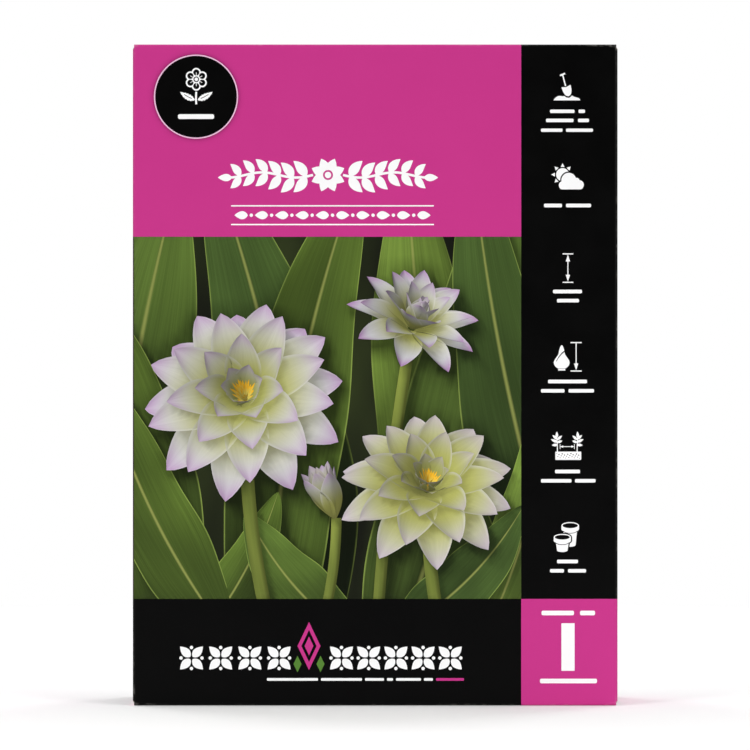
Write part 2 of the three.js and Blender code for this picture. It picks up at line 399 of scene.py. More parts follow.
# %% Effect: uneven ink
def make_ink_film():
    """Colour = the ink times 1 plus or minus the amount, by noise at two sizes. Sheen = the broad noise
    stretched to run from 0 to 1, for a varnish that is duller in some places."""
    group, given, answer = new_group("ink_film", {"Colour": MID_GREY, "Amount": 0.03},
                                     {"Colour": "Color", "Sheen": "Float"})
    where = object_place(group)
    cloud = noise(group, where, 90.0, 3.0)
    both = math_node(group, "ADD", cloud, noise(group, where, 2400.0, 1.0))
    swing = math_node(group, "MULTIPLY", math_node(group, "SUBTRACT", both, 1.0), given["Amount"])
    strength = math_node(group, "ADD", swing, 1.0)
    feed(group, answer, {
        "Colour": scaled(group, given["Colour"], strength),
        "Sheen": ramp(group, cloud, 0.3, 0.7),
    })
    return group


ink_film = make_ink_film()


# %% Effect: scuffed folds
def make_fold_scuff():
    """A point has three distances: to the side, to the front or back, and to the end faces. One of them
    is near zero on the surface, so the middle one is the distance to the nearest fold, and all three are
    small near a corner. The mask fades out with the distance, reaches further near a corner, and is
    broken up by fine noise in slow patches."""
    usual = {"Colour": MID_GREY, "Amount": 0.4, "Reach": 0.6 * MM}
    group, given, answer = new_group("fold_scuff", usual, {"Colour": "Color", "Mask": "Float"})
    where = object_place(group)
    axes = axes_of(group, where)
    middle_height = math_node(group, "SUBTRACT", axes["Z"], TOP / 2)
    halves = ((axes["X"], RIGHT), (axes["Y"], BACK), (middle_height, TOP / 2))
    near = [math_node(group, "SUBTRACT", half, math_node(group, "ABSOLUTE", axis)) for axis, half in halves]
    lesser = math_node(group, "MINIMUM", near[0], near[1])
    greater = math_node(group, "MAXIMUM", near[0], near[1])
    fold = math_node(group, "MAXIMUM", lesser, math_node(group, "MINIMUM", greater, near[2]))
    furthest = math_node(group, "MAXIMUM", greater, near[2])
    past = math_node(group, "MINIMUM", math_node(group, "DIVIDE", furthest, 9 * MM), 1.0)
    corner = math_node(group, "SUBTRACT", 1.0, past)
    reach = math_node(group, "MULTIPLY_ADD", corner, 0.5 * MM, given["Reach"])
    share = math_node(group, "DIVIDE", fold, reach)
    fade = math_node(group, "SUBTRACT", 1.0, math_node(group, "MINIMUM", share, 1.0))
    broken = ramp(group, noise(group, where, 620.0, 5.0), 0.47, 0.63)
    patch = ramp(group, noise(group, where, 48.0, 2.0), 0.45, 0.62)
    worn = math_node(group, "MAXIMUM", patch, corner)
    mask = math_node(group, "MULTIPLY", math_node(group, "MULTIPLY", fade, broken), worn)
    mask = math_node(group, "MULTIPLY", mask, given["Amount"])
    bare = rgba(214, 209, 200)
    feed(group, answer, {"Colour": mix_colour(group, mask, given["Colour"], bare), "Mask": mask})
    return group


fold_scuff = make_fold_scuff()


# %% Effect: streaks along a surface's own length
def make_streaks():
    """The attribute "place" holds where a point is across (-1 to 1) and along (0 to 1) its surface.
    Noise is stretched along the surface: dense across, slow along, and slanted away from the middle
    line. Two sizes are added, and the value is centred on zero."""
    usual = {"Across": 14.0, "Along": 1.5, "Slant": 3.0}
    group, given, answer = new_group("streaks", usual, {"Value": "Float", "Centre": "Float"})
    axes = axes_of(group, painted(group, "place")["Vector"])
    outward = math_node(group, "ABSOLUTE", axes["X"])
    spread = math_node(group, "MULTIPLY", outward, given["Across"])
    slanted = math_node(group, "SUBTRACT", spread, math_node(group, "MULTIPLY", axes["Y"], given["Slant"]))
    along = math_node(group, "MULTIPLY", axes["Y"], given["Along"])
    stretched = add(group, "CombineXYZ", {"X": slanted, "Y": along, "Z": axes["Z"]}).outputs[0]
    both = math_node(group, "ADD", noise(group, stretched, 1.0, 2.0), noise(group, stretched, 3.7, 2.0))
    feed(group, answer, {"Value": math_node(group, "SUBTRACT", both, 1.0), "Centre": outward})
    return group


streaks = make_streaks()


# %% [markdown]
# The outside of the board is printed and then coated with a thin clear varnish, so it is smooth with a
# soft sheen. The shader's coat could be that varnish, but a weak specular under a fairly low roughness
# gives the same sheen for less. The shared effects vary the colour, the roughness and the height. One
# function makes every plain ink from its colour, and another makes the inks of leaves and petals, which
# read an attribute, because an image would blur close up.

# %% Finish: plain inks under varnish
VARNISH = 0.07


def surface_shader(name, roughness, specular):
    """A new material, its node tree and its shader, with the constant values set on the shader."""
    material = bpy.data.materials.new(name)
    material.use_nodes = True
    tree = material.node_tree
    shader = feed(tree, tree.nodes["Principled BSDF"],
                  {"Roughness": roughness, "Specular IOR Level": specular})
    return material, tree, shader


def raise_board(tree, shader, tooth=0.02, waves=10.0, distance=0.05 * MM):
    """Raises a surface by the board's tooth and waves. The varnish nearly fills the tooth of a printed
    side, so its own values are little tooth and full waves."""
    height = use_group(tree, board_tooth, {"Tooth": tooth, "Waves": waves})["Height"]
    raise_surface(tree, shader, height, distance)


def plain_ink(name, colour, amount=0.03, scuff=0.24):
    """Varnished ink of one colour: uneven by a few parts in a hundred, scuffed at the folds, and
    duller where the varnish lies thinner or the fold is worn."""
    material, tree, shader = surface_shader(name, 0.38, VARNISH)
    film = use_group(tree, ink_film, {"Colour": colour, "Amount": amount})
    worn = use_group(tree, fold_scuff, {"Colour": film["Colour"], "Amount": scuff})
    dull = math_node(tree, "MULTIPLY_ADD", film["Sheen"], 0.09, 0.34)
    dull = math_node(tree, "MULTIPLY_ADD", worn["Mask"], 0.8, dull)
    feed(tree, shader, {"Base Color": worn["Colour"], "Roughness": dull})
    raise_board(tree, shader)
    return material


magenta_ink = plain_ink("magenta_ink", rgba(195, 54, 134))
black_ink = plain_ink("black_ink", rgba(2, 2, 2), amount=0.2)
white_ink = plain_ink("white_ink", rgba(246, 246, 246), amount=0.02, scuff=0.0)
green_ink = plain_ink("green_ink", rgba(84, 128, 52), scuff=0.0)
grey_ink = plain_ink("grey_ink", rgba(92, 92, 94), scuff=0.0)


# %% Finish: printed foliage, petals and soft edges, whose colours are worked out for each vertex
def shaded_ink(name, contrast, across, along, slant, rib=None):
    """Varnished print whose colour is the attribute "ink", streaked along its own length. A leaf also
    has a paler rib and a thin pale margin, dimmed by the alpha, which holds how lit the vertex is."""
    material, tree, shader = surface_shader(name, 0.38, VARNISH)
    ink = painted(tree, "ink")
    lines = use_group(tree, streaks, {"Across": across, "Along": along, "Slant": slant})
    colour = scaled(tree, ink["Color"], math_node(tree, "MULTIPLY_ADD", lines["Value"], contrast, 1.0))
    if rib is not None:
        middle = ramp(tree, lines["Centre"], 0.0, 0.06, 0.8, 0.0, interpolation_type="SMOOTHSTEP")
        colour = mix_colour(tree, middle, colour, scaled(tree, rib, ink["Alpha"]))
        margin = ramp(tree, lines["Centre"], 0.965, 0.99, 0.0, 0.7)
        colour = mix_colour(tree, margin, colour, scaled(tree, srgb(150, 172, 84), ink["Alpha"]))
    feed(tree, shader, {"Base Color": colour})
    raise_board(tree, shader)
    return material


leaf_ink = shaded_ink("leaf_ink", 0.55, 16.0, 1.6, 3.0, rib=srgb(150, 156, 84))
petal_ink = shaded_ink("petal_ink", 0.16, 5.0, 1.0, 0.0)
soft_ink = shaded_ink("soft_ink", 0.0, 1.0, 1.0, 0.0)


# %% Finish: the dark, blurred ground behind the printed leaves
def make_ground_ink():
    """Near-black greens: slow noise, stretched upwards, mixes two of them, as in deep shade."""
    material, tree, shader = surface_shader("ground_ink", 0.38, VARNISH)
    long = add(tree, "Mapping", {"Vector": object_place(tree), "Scale": (1.0, 1.0, 0.35)})
    spread = ramp(tree, noise(tree, long.outputs["Vector"], 55.0, 1.0), 0.35, 0.68)
    colour = mix_colour(tree, spread, rgba(20, 22, 15), rgba(44, 52, 27))
    worn = use_group(tree, fold_scuff, {"Colour": colour, "Amount": 0.24})
    feed(tree, shader, {"Base Color": worn["Colour"]})
    raise_board(tree, shader)
    return material


ground_ink = make_ground_ink()


# %% [markdown]
# The inside of the board is bare: off-white fibre with darker flecks, and no varnish. A cut edge shows
# the same fibre with more contrast, because its layers differ. Both are one finish with other values.

# %% Finish: bare board and its cut edge
def make_bare_board(name, light, dark, grain):
    """Matt fibre: noise of the given grain mixes two off-whites, and sparse dark flecks lie on it."""
    material, tree, shader = surface_shader(name, 0.88, 0.25)
    where = object_place(tree)
    flecks = ramp(tree, noise(tree, where, 520.0, 2.0), 0.66, 0.72, 0.0, 0.5)
    colour = mix_colour(tree, noise(tree, where, grain, 5.0), dark, light)
    feed(tree, shader, {"Base Color": mix_colour(tree, flecks, colour, rgba(120, 108, 92))})
    raise_board(tree, shader, 1.0, 0.4, 0.06 * MM)
    return material


bare_board = make_bare_board("bare_board", rgba(226, 221, 210), rgba(196, 189, 175), 900.0)
cut_edge = make_bare_board("cut_edge", rgba(232, 228, 220), rgba(178, 168, 152), 2600.0)

# %% [markdown]
# The four upright panels are one tube of board. A box with a Bevel and a Solidify modifier would come
# close, but here the plan, a rectangle with rounded folds, is carried up through a few heights. The rows
# lie on the borders between colours, so each printed field has its own faces and its own ink. The back
# panel's top edge dips in a half round: the thumb notch.

# %% The plan of the upright panels
NOTCH = 10 * MM
NOTCH_EDGE = 1.02 * NOTCH
EASE = 0.5 * MM


def bend(centre, radius, start, end, steps=5):
    """Points round a fold, between two angles in degrees: centre plus radius times cosine and sine."""
    turn = np.radians(np.linspace(start, end, steps + 1))
    return stacked(centre[0] + radius * np.cos(turn), centre[1] + radius * np.sin(turn))


def corner(centre, start):
    """Points and outward normals round an upright fold, without its two ends."""
    points = bend(centre, FOLD, start, start + 90, 6)[1:-1]
    return points, unit(points - centre)


def straight(first, last, stops, normal):
    """Points along one panel, at the given shares of the way from its first to its last."""
    first, last = np.array([first, last])
    return first + np.asarray(stops)[:, None] * (last - first), np.tile(normal, (len(stops), 1))


def panel_plan():
    """The carton's plan, anticlockwise from the front panel's left fold: points and outward normals."""
    near, far = FRONT + FOLD, BACK - FOLD
    left, right = LEFT + FOLD, RIGHT - FOLD
    span = right - left
    ease = EASE / span
    column = (COLUMN_EDGE - left) / span
    notch = 0.5 + NOTCH / span * np.sin(np.linspace(-np.pi / 2, np.pi / 2, 31))
    back_stops = [0, ease, 0.5 - NOTCH_EDGE / span, *notch, 0.5 + NOTCH_EDGE / span, 1 - ease, 1]
    side_stops = [0, EASE / (far - near), 1 - EASE / (far - near), 1]
    pieces = [
        straight((left, FRONT), (right, FRONT), [0, ease, column, 1 - ease, 1], (0, -1)),
        corner((right, near), -90),
        straight((RIGHT, near), (RIGHT, far), side_stops, (1, 0)),
        corner((right, far), 0),
        straight((right, BACK), (left, BACK), back_stops, (0, 1)),
        corner((left, far), 90),
        straight((LEFT, far), (LEFT, near), side_stops, (-1, 0)),
        corner((left, near), 180),
    ]
    return np.concatenate([p for p, _ in pieces]), np.concatenate([n for _, n in pieces])


# %% The upright panels
FLAP_FOLD = 0.7 * MM
BOTTOM_FLAP_LEVEL = BOARD + 0.2 * MM
BACK_FOOT, BACK_TOP = 0.1 * MM, TOP - 0.2 * MM
BELOW_NOTCH = 0.93 * TOP


def panel_ink(x, y, z):
    """Which ink a face of the tube takes: 0 magenta, 1 black and 2 the picture's ground."""
    on_front = y < FRONT + FOLD * 0.7
    on_column = on_front & (x > COLUMN_EDGE) | (x > RIGHT - FOLD * 0.7) & ~on_front
    on_back = y > BACK - FOLD * 0.5
    picture = on_front & ~on_column & (z > FOOTER_EDGE) & (z < HEADER_EDGE)
    footer = z < FOOTER_EDGE
    black = np.where(on_column, ~footer, np.where(on_back, z < HEADER_EDGE, footer))
    return np.where(picture, 2, np.where(black, 1, 0))


def make_panels():
    """The tube: at each plan point a column of heights, from its own foot to its own top edge. The front
    leaves room for its two folds, and the sides for the folds of the dust flaps."""
    plan, normals = panel_plan()
    x, y = plan[:, 0], plan[:, 1]
    front_wall = y < FRONT + FOLD * 0.2
    back_wall = y > BACK - FOLD * 0.2
    foot = np.where(front_wall, FOLD, np.where(back_wall, BACK_FOOT, BOTTOM_FLAP_LEVEL + FLAP_FOLD))
    dip = np.sqrt(np.clip(NOTCH ** 2 - x ** 2, 0, None))
    top = np.where(back_wall, BACK_TOP - dip, np.where(front_wall, TOP - FOLD, WALL_TOP - FLAP_FOLD))
    borders = [np.full_like(x, level) for level in (FOOTER_EDGE, HEADER_EDGE, BELOW_NOTCH)]
    outer = stacked(x, y, np.stack([foot, *borders, top]))
    outward = np.concatenate([normals, np.zeros((len(x), 1))], axis=1)
    beside = np.roll(outer, -1, axis=1)
    centre = (outer[:-1] + beside[:-1] + outer[1:] + beside[1:]) / 4
    ink = panel_ink(centre[..., 0], centre[..., 1], centre[..., 2]).ravel()
    shell = skin(outer, outer - BOARD * outward, wrap=True, slots=(ink, 3, 4))
    return build("carton_panels", [shell], [magenta_ink, black_ink, ground_ink, bare_board, cut_edge])


carton_panels = make_panels()

# %% [markdown]
# Three round vents are punched through each side panel, so that the rhizome can breathe. They could be
# drawn into the panel's grid, but its rows follow the colours. So a Boolean modifier takes six round bars
# out of the finished tube, and its result is kept as the mesh.

# %% Punch the vents
VENT_RADIUS = 4 * MM
VENT_HEIGHTS = np.array([62, 102, 142]) * MM


def vent_bar(edge, height, count=36):
    """A round bar through a side panel: a circle of radius times cosine and sine, carried along X."""
    turn = np.linspace(0, 2 * np.pi, count, endpoint=False)
    y, z = VENT_RADIUS * np.cos(turn), height + VENT_RADIUS * np.sin(turn)
    return prism(stacked(edge - 2 * MM, y, z), stacked(edge + 2 * MM, y, z))


def punch_vents(piece):
    """Takes the bars out, and puts the result of the modifier in place of the mesh."""
    bars = [vent_bar(edge, height) for edge in (LEFT, RIGHT) for height in VENT_HEIGHTS]
    cutter = build("vent_cutter", bars, [cut_edge])
    cut = piece.modifiers.new("vents", "BOOLEAN")
    cut.operation, cut.solver, cut.object = "DIFFERENCE", "EXACT", cutter
    cut.material_mode = "TRANSFER"
    graph = bpy.context.evaluated_depsgraph_get()
    made = bpy.data.meshes.new_from_object(piece.evaluated_get(graph))
    piece.modifiers.clear()
    piece.data = made
    made.set_sharp_from_angle(angle=math.radians(SMOOTH_ANGLE))
    bpy.data.objects.remove(cutter)


punch_vents(carton_panels)
finish_piece(carton_panels, stands_for="carton_body")

# %% [markdown]
# Every flap is a strip of the same board folded along a line. Bones or a bend modifier could fold a flat
# sheet, but a drawn path gives each fold its true radius. We draw the path that the outer face follows,
# as distances along and up, and carry it sideways between two edges that may draw in towards the flap's
# end. The inner face is the same path, moved in by the board's thickness along its normal.

# %% Folded flaps
def path_length(path):
    """Distance travelled from the path's start to each of its points."""
    return np.concatenate([[0], np.cumsum(np.linalg.norm(np.diff(path, axis=0), axis=1))])


def flap(path, low_edge, high_edge, along, across, slots, stops=(), inside=1.0):
    """Carries a path of (along, up) points across, from its low edge through the stops to its high edge.
    The path's normal is its slope turned a quarter, and the inner face lies one board thickness along
    it. The slots name the finish of the outer face's cells, the inner face and the rim."""
    normal = quarter_turn(unit(np.gradient(path, axis=0))) * -inside
    spread = np.stack([np.broadcast_to(edge, len(path)) for edge in (low_edge, *stops, high_edge)])

    def place(points):
        return points[:, :1] * along + points[:, 1:] * Z_AXIS + spread[..., None] * across

    return skin(place(path), place(path + normal * BOARD), slots=slots)


def drawn_in(length, half_width, reach, radius):
    """A flap's half width along its path. Round its far corners it is less by the radius minus the root
    of radius squared minus the distance past the corner squared."""
    past = np.clip(length - (reach - radius), 0, radius)
    return half_width - (radius - np.sqrt(np.clip(radius ** 2 - past ** 2, 0, None)))


# %% The closed bottom, folded from the front panel
CLOSURE_HALF = 74.6 * MM
CLOSURE_BACK = BACK - BOARD - 0.35 * MM
TUCK_HALF, TUCK_REACH, TUCK_CORNER = 73.4 * MM, 16 * MM, 9 * MM
TUCK_ROWS = 14


def closure_widths(path):
    """Half widths of a closure: its panel, then its narrower tuck flap with round far corners."""
    length = path_length(path)
    tuck_start = length[-TUCK_ROWS - 1]
    tuck = drawn_in(length - tuck_start, TUCK_HALF, TUCK_REACH, TUCK_CORNER)
    return np.where(length <= tuck_start, CLOSURE_HALF, np.maximum(tuck, CLOSURE_HALF / 2))


def closure(name, path, half, bare=0, inks=(0, 1), inside=1.0):
    """A folded closure as a piece that runs from front to back. Its two inks lie left and right of the
    column's edge, and its last rows are bare."""
    rows = len(path) - 1
    cells = np.tile(np.array(inks)[:, None], rows)
    cells[:, rows - bare:] = 2
    board = flap(path, -half, half, Y_AXIS, X_AXIS, (cells.ravel(), 2, 3), [COLUMN_EDGE], inside)
    return build(name, [board], [magenta_ink, black_ink, bare_board, cut_edge])


def make_bottom():
    """From the front panel's foot round the fold, back under the carton, and up inside the back."""
    under = stacked(np.linspace(FRONT + FOLD, CLOSURE_BACK - FOLD, 6)[1:-1], 0)
    tuck = stacked(CLOSURE_BACK, np.linspace(FOLD, TUCK_REACH, TUCK_ROWS + 1)[1:])
    path = np.concatenate([bend((FRONT + FOLD, FOLD), FOLD, 180, 270), under,
                           bend((CLOSURE_BACK - FOLD, FOLD), FOLD, -90, 0), tuck])
    return closure("bottom_closure", path, closure_widths(path), bare=11, inks=(1, 0), inside=-1.0)


finish_piece(make_bottom())

# %% Dust flaps, which fold in from the side panels
FLAP_REACH, FLAP_BACK, FLAP_FRONT = 34 * MM, 16 * MM, FRONT + FOLD
FLAP_CUT, FLAP_SLOPE = 4 * MM, 5 * MM


def make_dust_flap(name, turn, level, rising):
    """From the side panel's edge round the fold and inwards. Its front edge slopes back, and its two far
    corners are cut off. It is printed as far as one row past the fold. Turn is -1 for the left side and
    1 for the right, and rising is 1 for a flap at the top and -1 for one at the foot."""
    tip = RIGHT - FLAP_REACH
    fold = bend((RIGHT - FLAP_FOLD, level - rising * FLAP_FOLD), FLAP_FOLD, 0, 90 * rising)
    inward = np.array([RIGHT - 5 * MM, RIGHT - 9 * MM, tip + 12 * MM, tip + FLAP_CUT, tip])
    path = np.concatenate([fold, stacked(inward, level)])
    gone = np.clip((RIGHT - path[:, 0]) / FLAP_REACH, 0, 1)
    cut = np.clip(tip + FLAP_CUT - path[:, 0], 0, FLAP_CUT)
    cells = np.where(np.arange(len(path) - 1) < len(fold), 0, 1)
    board = flap(path * (turn, 1), FLAP_FRONT + FLAP_SLOPE * gone + cut, FLAP_BACK - cut,
                 X_AXIS, Y_AXIS, (cells, 1, 2), inside=-rising * turn)
    colour = black_ink if turn > 0 else magenta_ink
    finish_piece(build(name, [board], [colour, bare_board, cut_edge]))


for turn, word in ((-1, "left"), (1, "right")):
    make_dust_flap(f"top_dust_flap_{word}", turn, WALL_TOP, 1)
    make_dust_flap(f"bottom_dust_flap_{word}", turn, BOTTOM_FLAP_LEVEL, -1)


# %% The glue flap inside the left panel
def make_glue_flap():
    """A strip of bare board against the left panel, with sloped ends, as an outline given thickness."""
    reach, slope, foot, head = 12 * MM, 6 * MM, 5 * MM, WALL_TOP - 6 * MM
    back = BACK - BOARD - 0.4 * MM
    y = np.array([back, back, back - reach, back - reach])
    z = np.array([foot, head, head - slope, foot + slope])
    strip = prism(stacked(LEFT + BOARD, y, z), stacked(LEFT + 2 * BOARD, y, z), (0, 0, 1))
    return build("glue_flap", [strip], [bare_board, cut_edge])


finish_piece(make_glue_flap())

# %% [markdown]
# The lid is the top closure. It turns on the crease along the front panel's top edge, so the panel and
# its tuck flap ride on the lid's own body. A gap at the crease would show as the lid opens, so a quarter
# round of board, shaped like the real fold, fills it.

# %% The lid and its tuck flap
TUCK_LEAN = 13


def make_lid():
    """From the crease back over the top, round the rear fold, and down along the tuck flap, which leans
    in by a few degrees."""
    flat = stacked(np.linspace(FRONT + FOLD, CLOSURE_BACK - FOLD, 6), TOP)
    fold = bend((CLOSURE_BACK - FOLD, TOP - FOLD), FOLD, 90, -TUCK_LEAN, steps=6)[1:]
    lean = math.radians(TUCK_LEAN)
    downward = np.array([-math.sin(lean), -math.cos(lean)])
    reach = np.linspace(0, TUCK_REACH - FOLD, TUCK_ROWS + 1)[1:]
    path = np.concatenate([flat, fold, fold[-1] + reach[:, None] * downward])
    return closure("lid_board", path, closure_widths(path), bare=10)


finish_piece(make_lid(), "lid", "carton_lid")


# %% The crease strip between the front panel and the lid
def make_crease():
    """A quarter round of the fold's radius, from the front panel's top edge to the lid's front edge."""
    path = bend((FRONT + FOLD, TOP - FOLD), FOLD, 180, 90, steps=8)
    return closure("lid_crease", path, CLOSURE_HALF)


lid_crease = make_crease()
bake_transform(lid_crease)

# %% [markdown]
# The picture on the front shows pale flowers among broad leaves. An image on a plane is the usual way to
# show print. We work it out as a small scene in space instead, because then it is sharp at any distance,
# and the light, the shade and the overlaps come out right: every leaf and petal is a curved grid with a
# true depth, and takes its colour from its own slope and from what stands over it. Then the depth is
# squeezed to a few hundredths of a millimetre, and it is print.

# %% A space for the picture: across, up and towards the viewer, in millimetres on the panel
PICTURE_LEFT, PICTURE_RIGHT = LEFT / MM, COLUMN_EDGE / MM
PICTURE_FOOT, PICTURE_HEAD = FOOTER_EDGE / MM, HEADER_EDGE / MM
SQUEEZE = 1 / 300
DEEPEST_PRINT = 36 * MICRON
LIGHT = unit(np.array([-0.50, 0.62, 0.78]))


# %% Broad leaves
def curve(first, control, last, count=17):
    """A quadratic curve from the first point to the last, drawn towards the control point."""
    v = np.linspace(0, 1, count)[:, None]
    first, control, last = np.array([first, control, last])
    return (1 - v) ** 2 * first + 2 * v * (1 - v) * control + v ** 2 * last


def leaf(base, tip, bow, half_width, depth, lean, gutter, seed, across=33, along=61):
    """A broad leaf. Its centre line is a quadratic curve from base to tip, pushed sideways by the bow.
    Half its width is the given one times sin(pi v^0.72)^0.7, with v from 0 at the base to 1 at the tip,
    and it waves by a few parts in a hundred. Its depth is the given one plus lean times v, less the
    gutter times |u| across, plus waves that grow towards the margins, less a groove along the middle."""
    u = np.linspace(-1, 1, across)[:, None]
    v = np.linspace(0, 1, along)[None, :]
    base, tip = np.array([base, tip])
    control = (base + tip) / 2 + quarter_turn(unit(tip - base)) * bow
    centre = curve(base, control, tip, along)
    slope = unit((1 - v)[..., None] * (control - base) + v[..., None] * (tip - control))
    width = half_width * (np.sin(np.pi * v ** 0.72) ** 0.7 + 0.01)
    ripple = 1 + 0.035 * np.sin(17 * v + 2 * seed + np.sign(u)) * np.abs(u)
    flat = centre + quarter_turn(slope) * (width * u * ripple)[..., None]
    wave = half_width * (0.07 * np.sin(5 * v * np.pi + seed) * u ** 2
                         + 0.05 * np.sin(23 * v + 3 * seed + 1.5 * np.sign(u)) * u ** 4)
    groove = -0.05 * half_width * np.exp(-(u / 0.08) ** 2) * (1 - v)
    rise = depth + lean * v - gutter * width * np.abs(u) + wave + groove
    points = np.concatenate([flat, rise[..., None]], axis=-1)
    return {"points": points, "place": stacked(u, v, seed)}


# %% One petal
def petal(turn, opening, curl, length, half_width, cup, across=11, along=17):
    """One petal of a flower whose axis is the third direction. Its centre line leaves the middle at the
    opening angle from the axis and bends by the curl: radius and rise are the running sums of the sine
    and cosine of that angle. Its half width is w (0.9 sin(pi v)^0.75 + 0.34 (1 - v) v^0.4), which
    narrows to a point at both ends, and its edges are lifted inwards by the cup times u squared."""
    u = np.linspace(-1, 1, across)[:, None]
    v = np.linspace(0, 1, along)[None, :]
    angle = opening + curl * v
    step = length / (along - 1)
    radius = np.cumsum(np.sin(angle), axis=1) * step
    rise = np.cumsum(np.cos(angle), axis=1) * step
    width = half_width * (0.9 * np.sin(np.pi * v) ** 0.75 + 0.34 * (1 - v) * v ** 0.4 + 0.01)
    outward = np.array([math.cos(turn), math.sin(turn), 0.0])
    sideways = np.array([-math.sin(turn), math.cos(turn), 0.0])
    inward = -np.cos(angle)[..., None] * outward + np.sin(angle)[..., None] * Z_AXIS
    ruffle = 0.06 * np.sin(7 * v + 3 * turn) * np.abs(u)
    lift = (cup * u ** 2 + ruffle) * width
    points = radius[..., None] * outward + rise[..., None] * Z_AXIS
    points = points + (width * u)[..., None] * sideways + lift[..., None] * inward
    return {"points": points, "place": stacked(u, v, turn)}


def tilted(points, tilt, roll):
    """A flower whose axis faces the viewer, tipped back and then rolled in the picture, in degrees."""
    c, s = math.cos(math.radians(tilt)), math.sin(math.radians(tilt))
    tip_back = np.array([[1, 0, 0], [0, c, s], [0, -s, c]])
    c, s = math.cos(math.radians(roll)), math.sin(math.radians(roll))
    in_picture = np.array([[c, -s, 0], [s, c, 0], [0, 0, 1]])
    return points @ (in_picture @ tip_back).T


# %% A whole flower
LEAF_DEPTH = 36.0


def flower(centre, depth, size, tilt, roll, whorls, green):
    """Rings of petals round one middle. Each ring gives its number of petals, its opening in degrees,
    its curl in degrees, and its petals' length and half width as shares of the flower's size. A petal
    that tips back is pressed softly against the leaves: below their depth it keeps a tenth of its own.
    The green says how far the yellow-green of a young flower reaches up its petals."""
    made = []
    for ring, (count, opening, curl, length, half_width) in enumerate(whorls):
        for k in range(count):
            wobble = math.sin(12.9 * k + 7.3 * ring)
            turn = 2 * math.pi * (k + 0.5 * (ring % 2)) / count + 0.09 * wobble
            one = petal(turn, math.radians(opening + 5 * wobble), math.radians(curl),
                        size * length * (1 + 0.06 * wobble), size * half_width, 0.34)
            one["points"] = tilted(one["points"], tilt, roll) + np.array([*centre, depth])
            below = np.minimum(one["points"][..., 2] - LEAF_DEPTH, 0)
            one["points"][..., 2] -= 0.9 * below
            one["ring"] = ring / max(len(whorls) - 1, 1)
            one["green"] = green
            made.append(one)
    return made


# %% Stamens and stalks
GOLDEN_ANGLE = 2.39996


def stamens(centre, depth, size, tilt, roll, count=44):
    """Golden threads in a flower's middle: very narrow petals that open by turns from 2 to 22 degrees,
    each turned from the last by the golden angle."""
    made = []
    for k in range(count):
        opening = math.radians(2 + 20 * math.sqrt(k / count))
        length = size * (0.30 + 0.05 * math.sin(5.1 * k))
        one = petal(GOLDEN_ANGLE * k, opening, math.radians(5), length, size * 0.016, 0.2, 3, 9)
        one["points"] = tilted(one["points"], tilt, roll) + np.array([*centre, depth + 0.10 * size])
        made.append(one)
    return made


def stalk(base, tip, bow, radius, depth):
    """A round stem: a leaf's centre line, made equally wide all along and raised to a half tube, whose
    depth is the root of the radius squared less the offset squared."""
    made = leaf(base, tip, bow, radius, depth, 0.0, 0.0, 0.0, across=7, along=31)
    u = made["place"][..., 0]
    centre = made["points"][3:4, :, :2]
    edge = unit(made["points"][-1:, :, :2] - centre)
    flat = centre + edge * (radius * u)[..., None]
    rise = depth + radius * np.sqrt(1 - u ** 2 * 0.98)
    made["points"] = np.concatenate([flat, rise[..., None]], axis=-1)
    return made


# %% Lay out the leaves
# Each has its base, tip, bow, half width, depth, lean, gutter and seed.
BACK_LEAVES = [
    leaf((-84, 12), (-60, 166), 9, 21, 9, 3, 0.30, 1.0),
    leaf((-20, 16), (-52, 172), -12, 19, 1, 3, 0.34, 2.0),
    leaf((-34, 10), (-4, 168), 13, 17, 8, 3, -0.26, 3.0),
    leaf((34, 12), (10, 172), 10, 18, 0, 2, 0.32, 4.0),
    leaf((2, 8), (40, 176), -16, 20, 9, 3, 0.30, 5.0),
    leaf((62, 22), (30, 170), 9, 16, 17, 3, 0.26, 6.0),
    leaf((-62, 18), (-90, 132), -8, 15, 17, 4, -0.30, 7.0),
]
FRONT_LEAVES = [
    leaf((-46, 22), (-86, 108), 10, 12, 29, 4, 0.30, 8.0),
    leaf((30, 14), (54, 104), -11, 10, 27, 3, 0.34, 9.0),
    leaf((-6, 20), (-40, 60), 7, 10, 32, 3, 0.32, 10.0),
    leaf((6, 22), (46, 62), -8, 9.5, 31, 3, -0.30, 11.0),
    leaf((-58, 16), (-30, 66), -6, 8.5, 26, 3, 0.30, 12.0),
]

# %% Lay out the flowers and their stalks
# Each ring has its petals, opening, curl, length and half width, and each flower its middle, depth,
# size, tilt and roll.
OPEN_FLOWER = [(9, 84, 22, 1.00, 0.235), (9, 70, 18, 0.98, 0.23), (8, 55, 14, 0.90, 0.215),
               (7, 40, 8, 0.76, 0.19), (6, 28, 0, 0.56, 0.15)]
SIDE_FLOWER = [(8, 74, 20, 0.96, 0.22), (8, 58, 14, 0.96, 0.22), (7, 42, 8, 0.90, 0.20),
               (6, 28, 2, 0.78, 0.18), (5, 14, -6, 0.66, 0.17)]
BUD = [(5, 26, -18, 0.98, 0.22), (5, 17, -12, 1.00, 0.20), (4, 8, -6, 0.96, 0.16)]
LEFT_FLOWER, RIGHT_FLOWER = ((-40, 94), 46, 29, 24, 14), ((16, 66), 52, 25, 38, -8)
FLOWERS = (
    flower(*LEFT_FLOWER, OPEN_FLOWER, 0.42) + flower((11, 116), 46, 20, 56, -24, SIDE_FLOWER, 0.15)
    + flower(*RIGHT_FLOWER, OPEN_FLOWER, 0.95) + flower((-12, 57), 54, 17, 74, 20, BUD, 0.6)
)
STAMENS = stamens(*LEFT_FLOWER) + stamens(*RIGHT_FLOWER)
